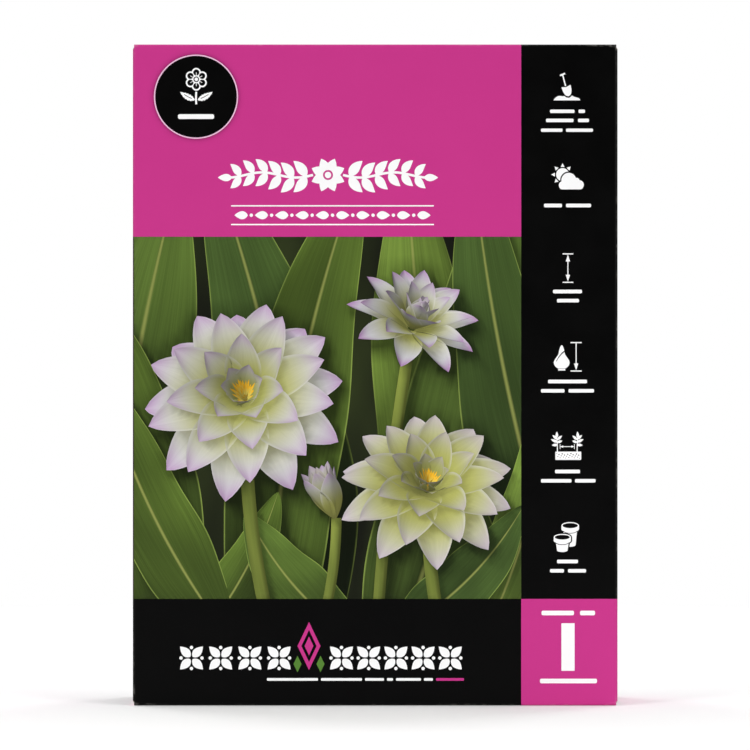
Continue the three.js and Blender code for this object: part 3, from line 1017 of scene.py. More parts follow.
STALKS = [
    stalk((-30, 14), (-40, 94), 6, 2.1, 38),
    stalk((0, 14), (11, 114), 3, 1.8, 24),
    stalk((22, 14), (16, 66), 3, 2.0, 38),
    stalk((-20, 14), (-12, 58), -4, 1.6, 40),
]
print("leaves:", len(BACK_LEAVES) + len(FRONT_LEAVES), "petals:", len(FLOWERS))


# %% [markdown]
# Shade needs to know what stands over each point. Rays could be cast from every vertex, but a map is
# much quicker. We drop every surface onto a fine map of the picture that keeps the nearest depth, blur
# it, and ask for each vertex how much of the map around it is nearer the viewer, and whether the map
# rises above the line from the vertex towards the light.

# %% A depth map of the picture
# The map's cells in millimetres, and how many of them lie beyond the picture on each side.
CELL, MARGIN = 0.6, 10


def refine(points, times):
    """A finer grid: each cell is filled in between its four corners in proportion."""
    rows, columns = points.shape[:2]
    r = np.linspace(0, rows - 1.0001, rows * times)
    c = np.linspace(0, columns - 1.0001, columns * times)
    i, j = r.astype(int), c.astype(int)
    a, b = (r - i)[:, None, None], (c - j)[None, :, None]
    near = points[i][:, j] * (1 - b) + points[i][:, j + 1] * b
    far = points[i + 1][:, j] * (1 - b) + points[i + 1][:, j + 1] * b
    return near * (1 - a) + far * a


def map_cells(points):
    """The map's row and column for points of the picture."""
    column = ((points[..., 0] - PICTURE_LEFT) / CELL).astype(int) + MARGIN
    row = ((points[..., 1] - PICTURE_FOOT) / CELL).astype(int) + MARGIN
    return np.clip(row, 0, DEPTH_MAP.shape[0] - 1), np.clip(column, 0, DEPTH_MAP.shape[1] - 1)


def blur(values, reach):
    """A box blur along both axes, twice, which comes close to a round one."""
    kernel = np.ones(reach) / reach
    for _ in range(2):
        for axis in (0, 1):
            values = np.apply_along_axis(lambda line: np.convolve(line, kernel, "same"), axis, values)
    return values


DEPTH_MAP = np.zeros((int((PICTURE_HEAD - PICTURE_FOOT) / CELL) + 2 * MARGIN,
                      int((PICTURE_RIGHT - PICTURE_LEFT) / CELL) + 2 * MARGIN))
for surface in BACK_LEAVES + FRONT_LEAVES + FLOWERS + STALKS:
    dense = refine(surface["points"], 6)
    np.maximum.at(DEPTH_MAP, map_cells(dense), dense[..., 2])
WIDE_MAP, NEAR_MAP = blur(DEPTH_MAP, 11), blur(DEPTH_MAP, 3)
print("depth map:", DEPTH_MAP.shape, "deepest and nearest in mm:", DEPTH_MAP.min(), DEPTH_MAP.max())


# %% Light and shade on a surface of the picture
def lit(points, closing):
    """How lit each vertex is. The normal is the cross product of the grid's two slopes, turned towards
    the viewer. The light is a soft share from all round, less what the wide map closes off, plus the
    share that faces the lamp, less the shadow found at four steps towards the lamp. The closing says
    how dark both get, and is lower for petals, which let some light through."""
    normal = np.cross(np.gradient(points, axis=0), np.gradient(points, axis=1))
    normal = unit(normal * np.where(normal[..., 2:] < 0, -1, 1))
    facing = np.clip(normal @ LIGHT, 0, 1)
    sky = 0.5 + 0.5 * normal[..., 2]
    row, column = map_cells(points)
    closed = np.clip((WIDE_MAP[row, column] - points[..., 2] - 0.5) / 9, 0, 1)
    shadow = np.zeros(points.shape[:2])
    for height, weight in ((1.2, 0.30), (2.6, 0.28), (4.5, 0.24), (7.0, 0.18)):
        seen_from = points + LIGHT / LIGHT[2] * height
        row, column = map_cells(seen_from)
        shadow += weight * smooth_step(NEAR_MAP[row, column] - seen_from[..., 2], 0.2, 2.4)
    return sky * 0.42 * (1 - closing * closed) + facing * 0.72 * (1 - (0.4 + 0.65 * closing) * shadow)


def with_light(surface, albedo, strength=1.0, closing=0.68):
    """Colours a surface: its own colour times how lit it is, with the light itself kept in the alpha."""
    light = lit(surface["points"], closing)[..., None] * strength
    surface["colour"] = np.concatenate([albedo * light, light], axis=-1)


def colour_leaf(surface, bright, dark, strength=1.0):
    """A leaf goes from dark at its base to bright at its tip. It is a little brighter towards its edges
    and on one side of its rib, and slow waves along it make paler and darker stretches."""
    u, v, seed = np.moveaxis(surface["place"], -1, 0)
    one_side = 0.16 * u * np.sign(np.sin(3.7 * seed))
    waves = 0.14 * np.sin(6.5 * v + 2.3 * seed + 1.2 * u) + 0.06 * np.sin(19 * v - seed - 3 * u)
    share = np.clip(0.15 + 0.72 * v + 0.16 * np.abs(u) + one_side + waves, 0, 1)
    with_light(surface, blend_colours(dark, bright, share), strength)


def colour_petal(surface):
    """A petal goes from yellow-green at its base through white to a lilac tip with a pale rim. Petals
    of the inner rings and of young flowers keep more of the yellow-green, and less of the lilac."""
    u, v, _ = np.moveaxis(surface["place"], -1, 0)
    ring, green = surface["ring"], surface["green"]
    base = 1 - smooth_step(v, 0.13 + 0.16 * ring + 0.30 * green, 0.76 + 0.24 * ring + 0.42 * green)
    tip = smooth_step(v + 0.08 * np.abs(u), 0.74, 1.05) * (1 - 0.45 * ring) * (1 - 0.75 * green)
    rim = smooth_step(np.abs(u), 0.86, 0.98) * smooth_step(v, 0.3, 0.6)
    albedo = blend_colours(srgb(226, 225, 230), srgb(194, 195, 108), base)
    albedo = blend_colours(albedo, srgb(190, 130, 196), tip)
    albedo = blend_colours(albedo, srgb(240, 238, 236), rim * 0.5)
    with_light(surface, albedo, 0.765, 0.4)


# %% Colour every surface
LEAF_TONES = [
    (srgb(92, 116, 50), srgb(36, 46, 22)), (srgb(78, 102, 48), srgb(28, 38, 20)),
    (srgb(88, 110, 44), srgb(32, 42, 20)), (srgb(116, 142, 60), srgb(42, 54, 26)),
]
for k, surface in enumerate(BACK_LEAVES):
    colour_leaf(surface, *LEAF_TONES[k % 4])
for k, surface in enumerate(FRONT_LEAVES):
    colour_leaf(surface, *LEAF_TONES[(k + 2) % 4], strength=1.12)
for surface in FLOWERS:
    colour_petal(surface)
for surface in STAMENS:
    v = surface["place"][..., 1]
    with_light(surface, blend_colours(srgb(214, 196, 92), srgb(236, 178, 40), smooth_step(v, 0.5, 0.8)), 1.3)
for surface in STALKS:
    colour_leaf(surface, srgb(140, 152, 70), srgb(70, 84, 36))


# %% Print the picture
def clip_to_picture(piece):
    """Cuts a mesh along the picture's four sides, keeps the inside, and closes each cut."""
    mesh = bmesh.new()
    mesh.from_mesh(piece.data)
    inset = 0.4 * MM
    cuts = [((LEFT + inset, 0, 0), (-1, 0, 0)), ((COLUMN_EDGE, 0, 0), (1, 0, 0)),
            ((0, 0, FOOTER_EDGE), (0, 0, -1)), ((0, 0, HEADER_EDGE), (0, 0, 1))]
    for point, outward in cuts:
        everything = mesh.verts[:] + mesh.edges[:] + mesh.faces[:]
        bmesh.ops.bisect_plane(mesh, geom=everything, dist=1e-9, plane_co=point, plane_no=outward,
                               clear_outer=True)
        open_edges = [edge for edge in mesh.edges if edge.is_boundary]
        bmesh.ops.holes_fill(mesh, edges=open_edges, sides=0)
    mesh.to_mesh(piece.data)
    mesh.free()


def print_picture(name, surfaces, material):
    """Squeezes each surface's depth, lays it on the front as a closed sheet, and trims it to the
    picture. The thin sheet's lift keeps the order of depths, so nearer print covers what is behind."""
    parts = []
    for surface in surfaces:
        flat = surface["points"][..., :2] * MM
        lift = DEEPEST_PRINT + surface["points"][..., 2] * MM * SQUEEZE
        upper, lower = lay(flat, FRONT_SIDE, lift), lay(flat, FRONT_SIDE, lift - 1 * MICRON)
        parts.append(skin(upper, lower, colour=surface["colour"], place=surface["place"]))
    piece = build(name, parts, [material])
    clip_to_picture(piece)
    finish_piece(piece)


print_picture("picture_back_leaves", BACK_LEAVES, leaf_ink)
print_picture("picture_front_leaves", FRONT_LEAVES, leaf_ink)
print_picture("picture_stalks", STALKS, petal_ink)
print_picture("picture_flowers", FLOWERS, petal_ink)
print_picture("picture_stamens", STAMENS, petal_ink)

# %% [markdown]
# The rest of the print is plain graphic work: a badge, a garland, small pictograms and rows of short
# bars. Curve objects could draw them, but a formula repeats, moves and resizes a mark in one line. So
# each is a flat outline, or a band along a line, worked out from a few points. The front's places are
# read off the photograph in pixels, and the other sides are laid out in millimetres.

# %% Flat shapes
def ellipse(x, y, across, up=None, first=0.0, last=360.0, count=40):
    """Points round a middle: the two radii times the cosine and the sine of an even run of angles."""
    angle = np.radians(np.linspace(first, last, count, endpoint=last - first < 360))
    return stacked(x + across * np.cos(angle), y - (up or across) * np.sin(angle))


def heading(degrees):
    """One step in a direction: its cosine, and minus its sine, because marks are measured downwards."""
    return np.array([math.cos(math.radians(degrees)), -math.sin(math.radians(degrees))])


def bar(left, top, right, foot, radius):
    """A rectangle with round corners: four quarter circles with straight sides between them."""
    corners = [(right - radius, top + radius, 0), (left + radius, top + radius, 90),
               (left + radius, foot - radius, 180), (right - radius, foot - radius, 270)]
    return np.concatenate([ellipse(x, y, radius, first=a, last=a + 90, count=5) for x, y, a in corners])


def band(points, width):
    """A line with a width: each point is moved half the width to both sides, square to the line."""
    points = np.asarray(points)
    half = quarter_turn(unit(np.gradient(points, axis=0))) * np.broadcast_to(width, len(points))[:, None] / 2
    return np.stack([points + half, points - half])


def leaflet(base, tip, half_width, bow=0.0, count=17, teeth=0):
    """A pointed leaf round a curve: half its width is the given one times sin(pi v^0.8)^0.9. Teeth are a
    sawtooth that takes up to a quarter off it."""
    base, tip = np.array([base, tip])
    control = (base + tip) / 2 + quarter_turn(unit(tip - base)) * bow
    v = np.linspace(0, 1, count)
    width = 2 * half_width * (np.sin(np.pi * v ** 0.8) ** 0.9 + 0.02) * (1 - 0.25 * (teeth * v % 1))
    return band(curve(base, control, tip, count), width)


def arrow_head(tip, back, half_width):
    """A triangle from the middle of its back edge to its tip."""
    tip, back = np.array([tip, back])
    across = quarter_turn(unit(tip - back)) * half_width
    return np.stack([tip, back + across, back - across])


# %% Printing a set of marks
INKS = {"magenta": magenta_ink, "black": black_ink, "white": white_ink,
        "green": green_ink, "grey": grey_ink, "soft": soft_ink}
STEP, STEPS = 0.4 * MICRON, 17


def mark(ink, shape, layer=1, closed=False, colour=None):
    """One mark: its ink, its flat shape, and the layer that it is printed in, from 1 upwards."""
    return {"ink": ink, "shape": shape, "layer": layer, "closed": closed, "colour": colour}


def white(shape, layer=1):
    """A mark in white ink."""
    return mark("white", shape, layer)


def black(shape, layer=1):
    """A mark in black ink."""
    return mark("black", shape, layer)


def moved(marks, place, scale, centre=(0, 0), lift=0, inks=None):
    """The same marks round another place, turned from pixels that run down to lengths that run up. They
    may be lifted by some layers and change inks."""
    made = []
    for one in marks:
        shape = (one["shape"] - centre) * (scale, -scale) + place
        ink = (inks or {}).get(one["ink"], one["ink"])
        made.append({**one, "shape": shape, "layer": one["layer"] + lift, "ink": ink})
    return made


def print_marks(name, marks, on=FRONT_SIDE, body="carton"):
    """Prints marks as one piece on a side of the carton. Outlines are filled, and grids are sheets. Marks
    of one layer may overlap, so each is lifted by a slightly different step."""
    used = [ink for ink in INKS if any(one["ink"] == ink for one in marks)]
    parts = []
    for k, one in enumerate(marks):
        shape, ink = on["measured"](one["shape"]), used.index(one["ink"])
        lift = one["layer"] * LAYER + k % STEPS * STEP
        upper, lower = lay(shape, on, lift), lay(shape, on, lift - INK)
        if shape.ndim == 2:
            parts.append(prism(upper, lower, (ink,) * 3))
        else:
            parts.append(skin(upper, lower, one["closed"], (ink,) * 3, one["colour"]))
    finish_piece(build(name, parts, [INKS[ink] for ink in used]), body)


# %% The round badge with its soft shadow and a flower
def tinted(count, colours):
    """A colour attribute for a grid with one colour for each row."""
    return np.array([[[*colour, 1.0]] * count for colour in colours])


def soft_badge(x, y, radius):
    """A black disc with a pale ring. Its shadow is the ground's magenta times 1 - 0.52 e^(-d / 1.7),
    with d the distance from the disc."""
    count = 96
    reach = np.array([-0.6, 0.6, 1.4, 2.4, 3.6, 5.2, 7.6])
    shade = 1 - 0.52 * np.exp(-np.clip(reach, 0, None) / 1.7) * (reach < 7)
    halo = np.stack([ellipse(x, y, radius + step, count=count) for step in reach])
    rim = np.stack([ellipse(x, y, radius - 1.25, count=count), ellipse(x, y, radius, count=count)])
    return [
        mark("soft", halo, 1, True, tinted(count, srgb(195, 54, 134) * shade[:, None])),
        black(ellipse(x, y, radius - 0.6, count=count), 2),
        mark("soft", rim, 3, True, tinted(count, [srgb(232, 190, 216)] * 2)),
    ]


def flower_sign(x, y):
    """Six round petals in outline round a small eye, each with a vein, over a stem with two leaves."""
    made, eye = [], np.array([x, y])
    for k in range(6):
        out = heading(90 + 60 * k)
        petal_middle = eye + 6.8 * out
        made += [
            white(ellipse(*petal_middle, 4.6, count=28), 3),
            black(ellipse(*petal_middle, 3.05, count=28), 4),
            white(band([eye + 3.5 * out, eye + 6.9 * out], 0.55), 5),
        ]
    stem = curve((x, y + 12.4), (x - 0.6, y + 19), (x, y + 25))
    made += [white(ellipse(x, y, 3.9), 5), black(ellipse(x, y, 2.8), 6), white(ellipse(x, y, 1.8), 7),
             white(band(stem, 1.9), 3)]
    for sign in (-1, 1):
        base, tip = (x + 1.5 * sign, y + 20.6), (x + 16.2 * sign, y + 12.6)
        vein = curve((x + 4.5 * sign, y + 19.2), (x + 8.5 * sign, y + 17.6), (x + 12 * sign, y + 15.2))
        made += [white(leaflet(base, tip, 3.3, 1.4 * sign, 46, 6), 3), black(band(vein, 0.6), 4)]
    return made


print_marks("front_badge", soft_badge(196.0, 96.7, 42.1) + flower_sign(196.3, 79.3)
            + [white(bar(178, 114.2, 214, 119.0, 1.6), 3)])


# %% A leaf garland with a border of leaves and beads
def garland(x, y, half_length):
    """Two stems leave an eight-petalled blossom as slow waves, with leaves by pairs along them. A wave
    is 2.6 times the sine of pi times the way past the stem's start over 34."""
    def stem_level(reach):
        return y + 2.6 * np.sin(np.pi * (reach - 15) / 34)

    made, eye = [], np.array([x, y])
    for sign in (-1, 1):
        steps = np.linspace(15, half_length, 40)
        made.append(white(band(stacked(x + sign * steps, stem_level(steps)), 2.4)))
        for k in range(6):
            reach, size = 22 + 13.2 * k, 1 - 0.045 * k
            base = (x + sign * reach, stem_level(reach))
            for updown in (-1, 1):
                tip = (x + sign * (reach + 12.5 * size), stem_level(reach) + updown * 15.5 * size)
                made.append(white(leaflet(base, tip, 4.9 * size, 2.8 * sign * updown)))
        level = stem_level(half_length)
        base, tip = (x + sign * (half_length - 3), level), (x + sign * (half_length + 11), level)
        made.append(white(leaflet(base, tip, 3.6)))
    for k in range(8):
        out = heading(45 * k + 22.5)
        made.append(white(leaflet(eye + out * 3, eye + out * 17.5, 4.9), 2))
    return made + [mark("magenta", ellipse(x, y, 5.0), 3), white(ellipse(x, y, 3.2), 4)]


def leaf_border(left, right, y, count):
    """A row of leaves that point away from the middle, with a bead in each gap."""
    made = []
    step = (right - left) / count
    for k in range(count):
        middle = left + step * (k + 0.5)
        sign = -1 if middle < (left + right) / 2 else 1
        made.append(white(leaflet((middle - 6.6 * sign, y), (middle + 6.6 * sign, y), 4.0)))
        if k:
            made.append(white(ellipse(left + step * k, y, 1.7, count=20)))
    return made


rules = [white(bar(231, level, 434, level + 1.3, 0.6)) for level in (205.2, 223.9)]
print_marks("front_garland", garland(328.0, 175.0, 99.0) + leaf_border(231, 434, 215.2, 10) + rules)


# %% [markdown]
# Six pictograms down the column tell how to plant: a spade in a heap of soil, a sun and a cloud, the
# height, the depth, the spacing and the pots. Each could be a traced drawing, but a few circles, bars and
# curves give the same sign, and it can be printed again, smaller, on the back.

# %% Pictogram: a spade in soil
def spade_sign():
    """A spade in a heap of soil. The blade's half width is 4.7 times the root of 1 less the depth^2.4,
    and the heap's height is the root of half a sine wave, with a slow wobble."""
    v = np.linspace(0, 1, 15)
    half = 4.7 * np.sqrt(1 - v ** 2.4)
    down, across = np.array([0.264, 0.964]), np.array([0.964, -0.264])
    left, right = (sign * half[:, None] * across + 10.6 * v[:, None] * down for sign in (-1, 1))
    blade = np.array([566.0, 86.0]) + np.concatenate([[1.1 * down], right, left[-2::-1]])
    gap = blade.mean(axis=0) + (blade - blade.mean(axis=0)) * 1.3
    t = np.linspace(0, 1, 41)
    heap = 6.0 * np.sqrt(np.sin(np.pi * t)) * (0.87 + 0.13 * np.cos(14 * t + 0.6))
    return [
        white(band([(560.0, 75.6), (565.0, 73.5)], 1.7)),
        white(band([(562.6, 74.8), (566.1, 88.0)], 1.3)),
        white(stacked(580.3 - 26.8 * t, 100.4 - heap)),
        black(gap, 2),
        white(blade, 3),
    ]


# %% Pictogram: sun and cloud
def sun_and_cloud_sign():
    """A sun with five rays behind a cloud of four discs and a flat bar. Each disc has a larger dark one
    behind it."""
    sun = np.array([562.6, 174.6])
    made = [white(ellipse(*sun, 6.5))]
    for degrees in (45, 90, 135, 180, 225):
        out = heading(degrees)
        made.append(white(arrow_head(sun + out * 11.4, sun + out * 7.7, 2.0)))
    bumps = [(568.8, 180.2, 7.4), (576.6, 180.8, 3.0), (579.2, 184.8, 4.6), (562.9, 185.2, 4.1)]
    for x, y, radius in bumps:
        made += [black(ellipse(x, y, radius + 1.3), 2), white(ellipse(x, y, radius), 3)]
    return made + [white(bar(559.2, 183.0, 583.2, 189.4, 3.0), 3)]


# %% Pictograms: height and depth
def measure_sign(x, top, foot, left, right, both_ends):
    """Two level lines with an upright arrow between them."""
    made = [white(band([(left, level), (right, level)], 1.1)) for level in (top, foot)]
    made.append(white(band([(x, top + 3 * both_ends), (x, foot - 3)], 1.0)))
    made.append(white(arrow_head((x, foot - 0.6), (x, foot - 7.6), 2.2)))
    if both_ends:
        made.append(white(arrow_head((x, top + 0.6), (x, top + 7.6), 2.2)))
    return made


def bulb_sign(x, top, foot):
    """A bulb round an upright line, on a small plate. Down from the tip, its half width grows to 2.9
    as a root and to 7.9 by a smooth step, and closes below as the quarter of an ellipse. A dark line
    parts its outer scale."""
    s = np.linspace(0, 1, 34)
    below = np.clip((s - 0.74) / 0.26, 0, 1)
    neck = 0.1 + 2.8 * np.sqrt(np.clip(s / 0.3, 0, 1))
    half = (neck + 5.0 * smooth_step(s, 0.3, 0.74)) * np.sqrt(1 - 0.84 * below ** 2)
    line = stacked(x, top + (foot - top) * s)
    scale_line = curve((x + 4.2, top + 5.0), (x - 2.2, top + 9.4), (x - 5.4, top + 16.2))
    return [
        white(band(line, 2 * half)),
        white(band([(x - 3.6, foot + 1.2), (x + 3.6, foot + 1.2)], 1.5)),
        black(band(scale_line, np.linspace(1.3, 0.5, 17)), 2),
    ]


# %% Pictogram: spacing
def spacing_sign():
    """Two seedlings on a strip of soil with stones in it, which are spread by the golden ratio, and an
    arrow between the stems."""
    made = [white(bar(555.3, 451.6, 581.2, 459.9, 0.8))]
    for k in range(22):
        x, y = 556.8 + 1.09 * k, 453.4 + 5.0 * (k * 0.618 % 1)
        made.append(black(ellipse(x, y, 0.35 + 0.3 * (k * 0.382 % 1), count=10), 2))
    outer_leaves = [(439.2, 4.9, 4.0), (442.2, 6.5, 3.0), (444.8, 5.6, -0.4)]
    inner_leaves = [(439.8, 4.6, 4.2), (442.4, 4.9, 1.6)]
    for stem, sign in ((557.4, -1), (577.1, 1)):
        made.append(white(band(curve((stem, 451.8), (stem, 443), (stem + 0.8 * sign, 436)), 1.0)))
        made.append(white(leaflet((stem + 0.7 * sign, 438), (stem + 0.4 * sign, 431.6), 1.35)))
        for leaves, away, half_width in ((outer_leaves, sign, 1.4), (inner_leaves, -sign, 1.3)):
            made += [white(leaflet((stem, level), (stem + away * out, level - rise), half_width))
                     for level, out, rise in leaves]
    arrow = 446.6
    made.append(white(band([(562.5, arrow), (572.0, arrow)], 0.7)))
    for end, inner in ((560.1, 563.2), (574.4, 571.3)):
        made.append(white(band([(end, arrow - 2.5), (end, arrow + 2.5)], 0.6)))
        made.append(white(arrow_head((end, arrow), (inner, arrow), 1.2)))
    return made


# %% Pictogram: pots
def pot(x, rim, across, up, foot, foot_half, layer):
    """A flower pot: a tapered body with a round foot under an open rim, on a dark outline."""
    made = []
    for ink, grow, level in (("black", 1.2, layer), ("white", 0.0, layer + 1)):
        half, neck = across + grow, across * 0.84 + grow
        round_foot = ellipse(x, foot, foot_half + grow, up * 0.5 + grow, 180, 360, 13)
        body = np.concatenate([round_foot, [(x + neck, rim), (x - neck, rim)]])
        lower_rim, upper_rim = (ellipse(x, y, half, up + grow) for y in (rim + 3.4, rim))
        between = bar(x - half, rim, x + half, rim + 3.4, 0.2)
        made += [mark(ink, shape, level) for shape in (body, lower_rim, between, upper_rim)]
    lip = ellipse(x, rim + 4.2, across * 0.86, up, 200, 340, 13)
    return made + [black(ellipse(x, rim, across - 1.2, up - 1.0), layer + 2),
                   black(band(lip, 0.6), layer + 2)]


# %% Print the pictograms
# Each is kept with its middle, because the back panel takes three of them again.
SIGNS = {
    "spade": (spade_sign(), (567, 87)),
    "sun": (sun_and_cloud_sign(), (571, 177)),
    "height": (measure_sign(567.9, 253.9, 282.3, 562.6, 573.3, True), (568, 268)),
    "depth": (bulb_sign(561.7, 345.2, 368.6)
              + measure_sign(576.1, 342.6, 371.0, 570.5, 581.7, False), (568, 357)),
    "spacing": (spacing_sign(), (568, 446)),
    "pots": (pot(570.2, 525.6, 8.8, 3.5, 545.0, 5.4, 1)
             + pot(562.3, 537.2, 8.6, 3.3, 550.4, 5.3, 4), (566.5, 538)),
}
print_marks("front_pictograms", [one for marks, middle in SIGNS.values() for one in marks])


# %% Short bars in rows
def bar_rows(rows, ink="white", thickness=0.52):
    """Each row has its top, its foot and the left and right end of each bar. A bar fills the middle
    share of the row's height."""
    made = []
    for top, foot, spans in rows:
        half = (foot - top) * thickness / 2
        middle = (top + foot) / 2
        for left, right in spans:
            made.append(mark(ink, bar(left, middle - half, right, middle + half, half * 0.6)))
    return made


COLUMN_ROWS = [
    (108, 114.6, [(550, 574.5), (578.5, 585)]), (117, 123.8, [(546, 573.5), (578, 589)]),
    (127, 133.4, [(541, 562.5), (566, 593)]), (202, 209, [(544, 562), (566, 591)]),
    (288, 295, [(553, 582)]), (297.2, 304, [(557, 579)]), (378, 385, [(548, 587)]),
    (387.4, 394.2, [(541, 564.5), (568.5, 594)]), (468, 475, [(555, 580)]),
    (477.4, 484.2, [(541, 571.5), (575, 595.5)]), (558, 565, [(557, 578)]),
    (567.4, 574.2, [(550, 564), (568, 586)]),
]
SQUARE_ROWS = [(608, 618, [(541.5, 574), (580, 595)]), (676, 686, [(540, 597)])]
print_marks("front_column_bars", bar_rows(COLUMN_ROWS))
print_marks("front_square_bars", bar_rows(SQUARE_ROWS, thickness=0.46)
            + [white(bar(561.4, 623.2, 574.6, 670.8, 0.5))])


# %% The foot's border of crossed leaves, with a lozenge
def crossed_leaves(x, y, reach):
    """Four leaves along the two diagonals, with a bead between each two."""
    made, middle = [], np.array([x, y])
    for k in range(4):
        out, bead = heading(45 + 90 * k), middle + heading(90 * k) * reach * 0.86
        made += [white(leaflet(middle + out * 1.6, middle + out * reach * 1.32, reach * 0.34)),
                 white(ellipse(*bead, reach * 0.14, count=20))]
    return made


def lozenge(x, y, across, up):
    """The four corners of a square on its point, made narrower."""
    return np.array([(x + across, y), (x, y - up), (x - across, y), (x, y + up)])


# %% Print the foot's border
foot_marks = []
for middle in [191.5 + 29.2 * k for k in range(4)] + [341.5 + 27.2 * k for k in range(5)]:
    foot_marks += crossed_leaves(middle, 658, 12.2)
foot_marks += [
    mark("magenta", lozenge(309, 646, 11.5, 24), 1),
    black(lozenge(309, 646, 7.6, 16), 2),
    mark("magenta", lozenge(309, 646, 4.4, 9.4), 3),
    mark("green", lozenge(297.5, 664, 4.0, 8.2), 1),
    mark("green", lozenge(320.5, 664, 4.0, 8.2), 1),
]
thin_spans = [(267, 318), (321, 362), (365, 384), (387, 393), (396, 421), (424, 433)]
foot_marks += bar_rows([(676.2, 682.6, thin_spans)], thickness=0.42)
foot_marks += bar_rows([(676.2, 682.6, [(436, 464)])], ink="magenta", thickness=0.42)
print_marks("front_foot_border", foot_marks)

# %% [markdown]
# The other sides carry quieter print. The back has a white panel with three planting steps, a strip of
# twelve months, rows of short bars and a striped code. Its pictograms and garland, the lid's garland and
# the side panels' blossom could be drawn again, but the front's own marks are moved and made smaller.
# All are laid out in millimetres, across from each side's middle and up from its foot.

# %% Steps, months, stripes and short bars for the back panel
def framed_step(sign, middle, level, size=15.0):
    """A pictogram in black on white inside a thin grey frame, with two short bars below."""
    marks, centre = SIGNS[sign]
    swapped = {"white": "black", "black": "white"}
    room = size - 0.4
    return [
        mark("grey", bar(middle - size, level - size, middle + size, level + size, 3.0), 2),
        white(bar(middle - room, level - room, middle + room, level + room, 2.7), 3),
        *moved(marks, (middle, level), 0.62, centre, 3, swapped),
        mark("grey", bar(middle - 14, level - size - 4.0, middle + 14, level - size - 2.6, 0.6), 2),
        mark("grey", bar(middle - 10, level - size - 7.0, middle + 10, level - size - 5.6, 0.6), 2),
    ]


def month_strip(left, level, step=9.7):
    """Twelve rounded squares: four in green, three in magenta, and the others empty in a grey outline."""
    inks = ["green"] * 4 + ["grey"] * 3 + ["magenta"] * 3 + ["grey"] * 2
    made = []
    for k, ink in enumerate(inks):
        x = left + step * k
        made.append(mark(ink, bar(x, level, x + step - 1.5, level + 6.6, 1.2), 2))
        if ink == "grey":
            made.append(white(bar(x + 0.35, level + 0.35, x + step - 1.85, level + 6.25, 0.9), 3))
    return made


def striped_code(left, foot, width, height):
    """Upright stripes of one to three units with gaps of one or two, by a seeded random generator."""
    chance = np.random.default_rng(11)
    made, x, unit_width = [], 0.0, width / 78
    while x < width - 3 * unit_width:
        stripe = unit_width * chance.integers(1, 4)
        box = np.array([(x, 0), (x + stripe, 0), (x + stripe, height), (x, height)]) + (left, foot)
        made.append(black(box, 2))
        x += stripe + unit_width * chance.integers(1, 3)
    return made


def paragraph(left, top, lengths, ink="grey"):
    """Short bars under one another, 3.4 mm apart."""
    return [mark(ink, bar(left, top - 3.4 * k, left + length, top - 3.4 * k + 1.3, 0.6), 2)
            for k, length in enumerate(lengths)]


# %% The back panel
GARLAND_SCALE = PIXEL / MM * 0.9

back_marks = [white(bar(-64, 13, 64, 135, 4.0)), mark("magenta", bar(-57, 124.5, 4, 129.5, 1.4), 2),
              black(bar(-57, 119.2, -14, 121.4, 0.9), 2)]
for sign, middle in (("spade", -41), ("depth", 0), ("sun", 41)):
    back_marks += framed_step(sign, middle, 99.5)
back_marks += month_strip(-57.5, 65)
back_marks += paragraph(-57, 56, [58, 54, 60, 49, 57, 30])
back_marks += paragraph(-57, 32, [52, 59, 44, 55], "black")
back_marks += striped_code(22, 19, 34, 22) + paragraph(22, 56, [35, 31, 34, 24])
print_marks("back_print", back_marks, BACK_SIDE)
print_marks("back_garland", moved(garland(0, 0, 99.0), (0, 171), GARLAND_SCALE), BACK_SIDE)


# %% Both side panels and the lid
def side_marks():
    """A blossom above the vents, a bead and leaves between them, and short bars in the foot."""
    blossom = [one for one in garland(0, 0, 24.0) if np.abs(one["shape"][..., 0]).max() < 19]
    made = moved(blossom, (0, 176), GARLAND_SCALE)
    for level in (82, 122):
        made.append(white(ellipse(0, level, 1.1, count=20)))
        for sign in (-1, 1):
            made += [white(leaflet((0, level + 2.4 * sign), (0, level + 9.5 * sign), 1.9)),
                     white(leaflet((2 * sign, level), (8.5 * sign, level), 1.7))]
    return made + [white(bar(-half, level, half, level + 1.4, 0.6))
                   for half, level in ((12, 22.5), (9, 18.5), (11, 14.5), (6, 10.5))]


print_marks("right_print", side_marks(), RIGHT_SIDE)
print_marks("left_print", side_marks(), LEFT_SIDE)
lid_middle = (LEFT + COLUMN_EDGE) / 2 / MM
print_marks("lid_print", moved(garland(0, 0, 99.0), (lid_middle, 0), GARLAND_SCALE), LID_SIDE,
            body="lid")

# %% [markdown]
# Inside the carton stands a clear film bag. A real one is a tube of film, filled, then pressed flat and
# sealed across the top with a crimped, zigzag-cut strip. A cloth simulation could crumple it, but formulas
# give the same folds in each run and keep the film clear of the carton. We carry one closed ring up the
# bag: it starts flat at the foot, swells like a pillow over the fill, and goes flat again in the seal.
# The film could be a glass shader. But it is too thin to bend light, so a weak cover by alpha will do.

# %% The bag's sizes and the room inside it
BAG_HALF_WIDTH, BAG_HALF_DEPTH = 62.0, 15.0
BAG_FOOT, BAG_HEAD, SEAL_TOP = 1.6, 150.0, 162.8
SEAL_HALF_WIDTH = 55.0
CRIMP, CRIMP_PITCH, TOOTH_PITCH = 0.25, 1.6, 2.4
PUNCH_RADIUS = 3.0
PUNCHES = [(-34, 50), (34, 50), (0, 72), (-34, 94), (34, 94)]


def fullness(height):
    """How full the bag is at a height, from 0 to 1: a round foot over the lowest fifth, then the
    cosine of a quarter turn times the share of the way up to the power 1.7."""
    v = np.clip((height - BAG_FOOT) / (BAG_HEAD + 2 - BAG_FOOT), 0, 1)
    low = np.sqrt(np.clip(1 - (1 - v / 0.2) ** 2, 0, 1))
    return np.where(v < 0.2, low, np.cos(np.pi / 2 * (np.clip(v - 0.2, 0, 1) / 0.8) ** 1.7))


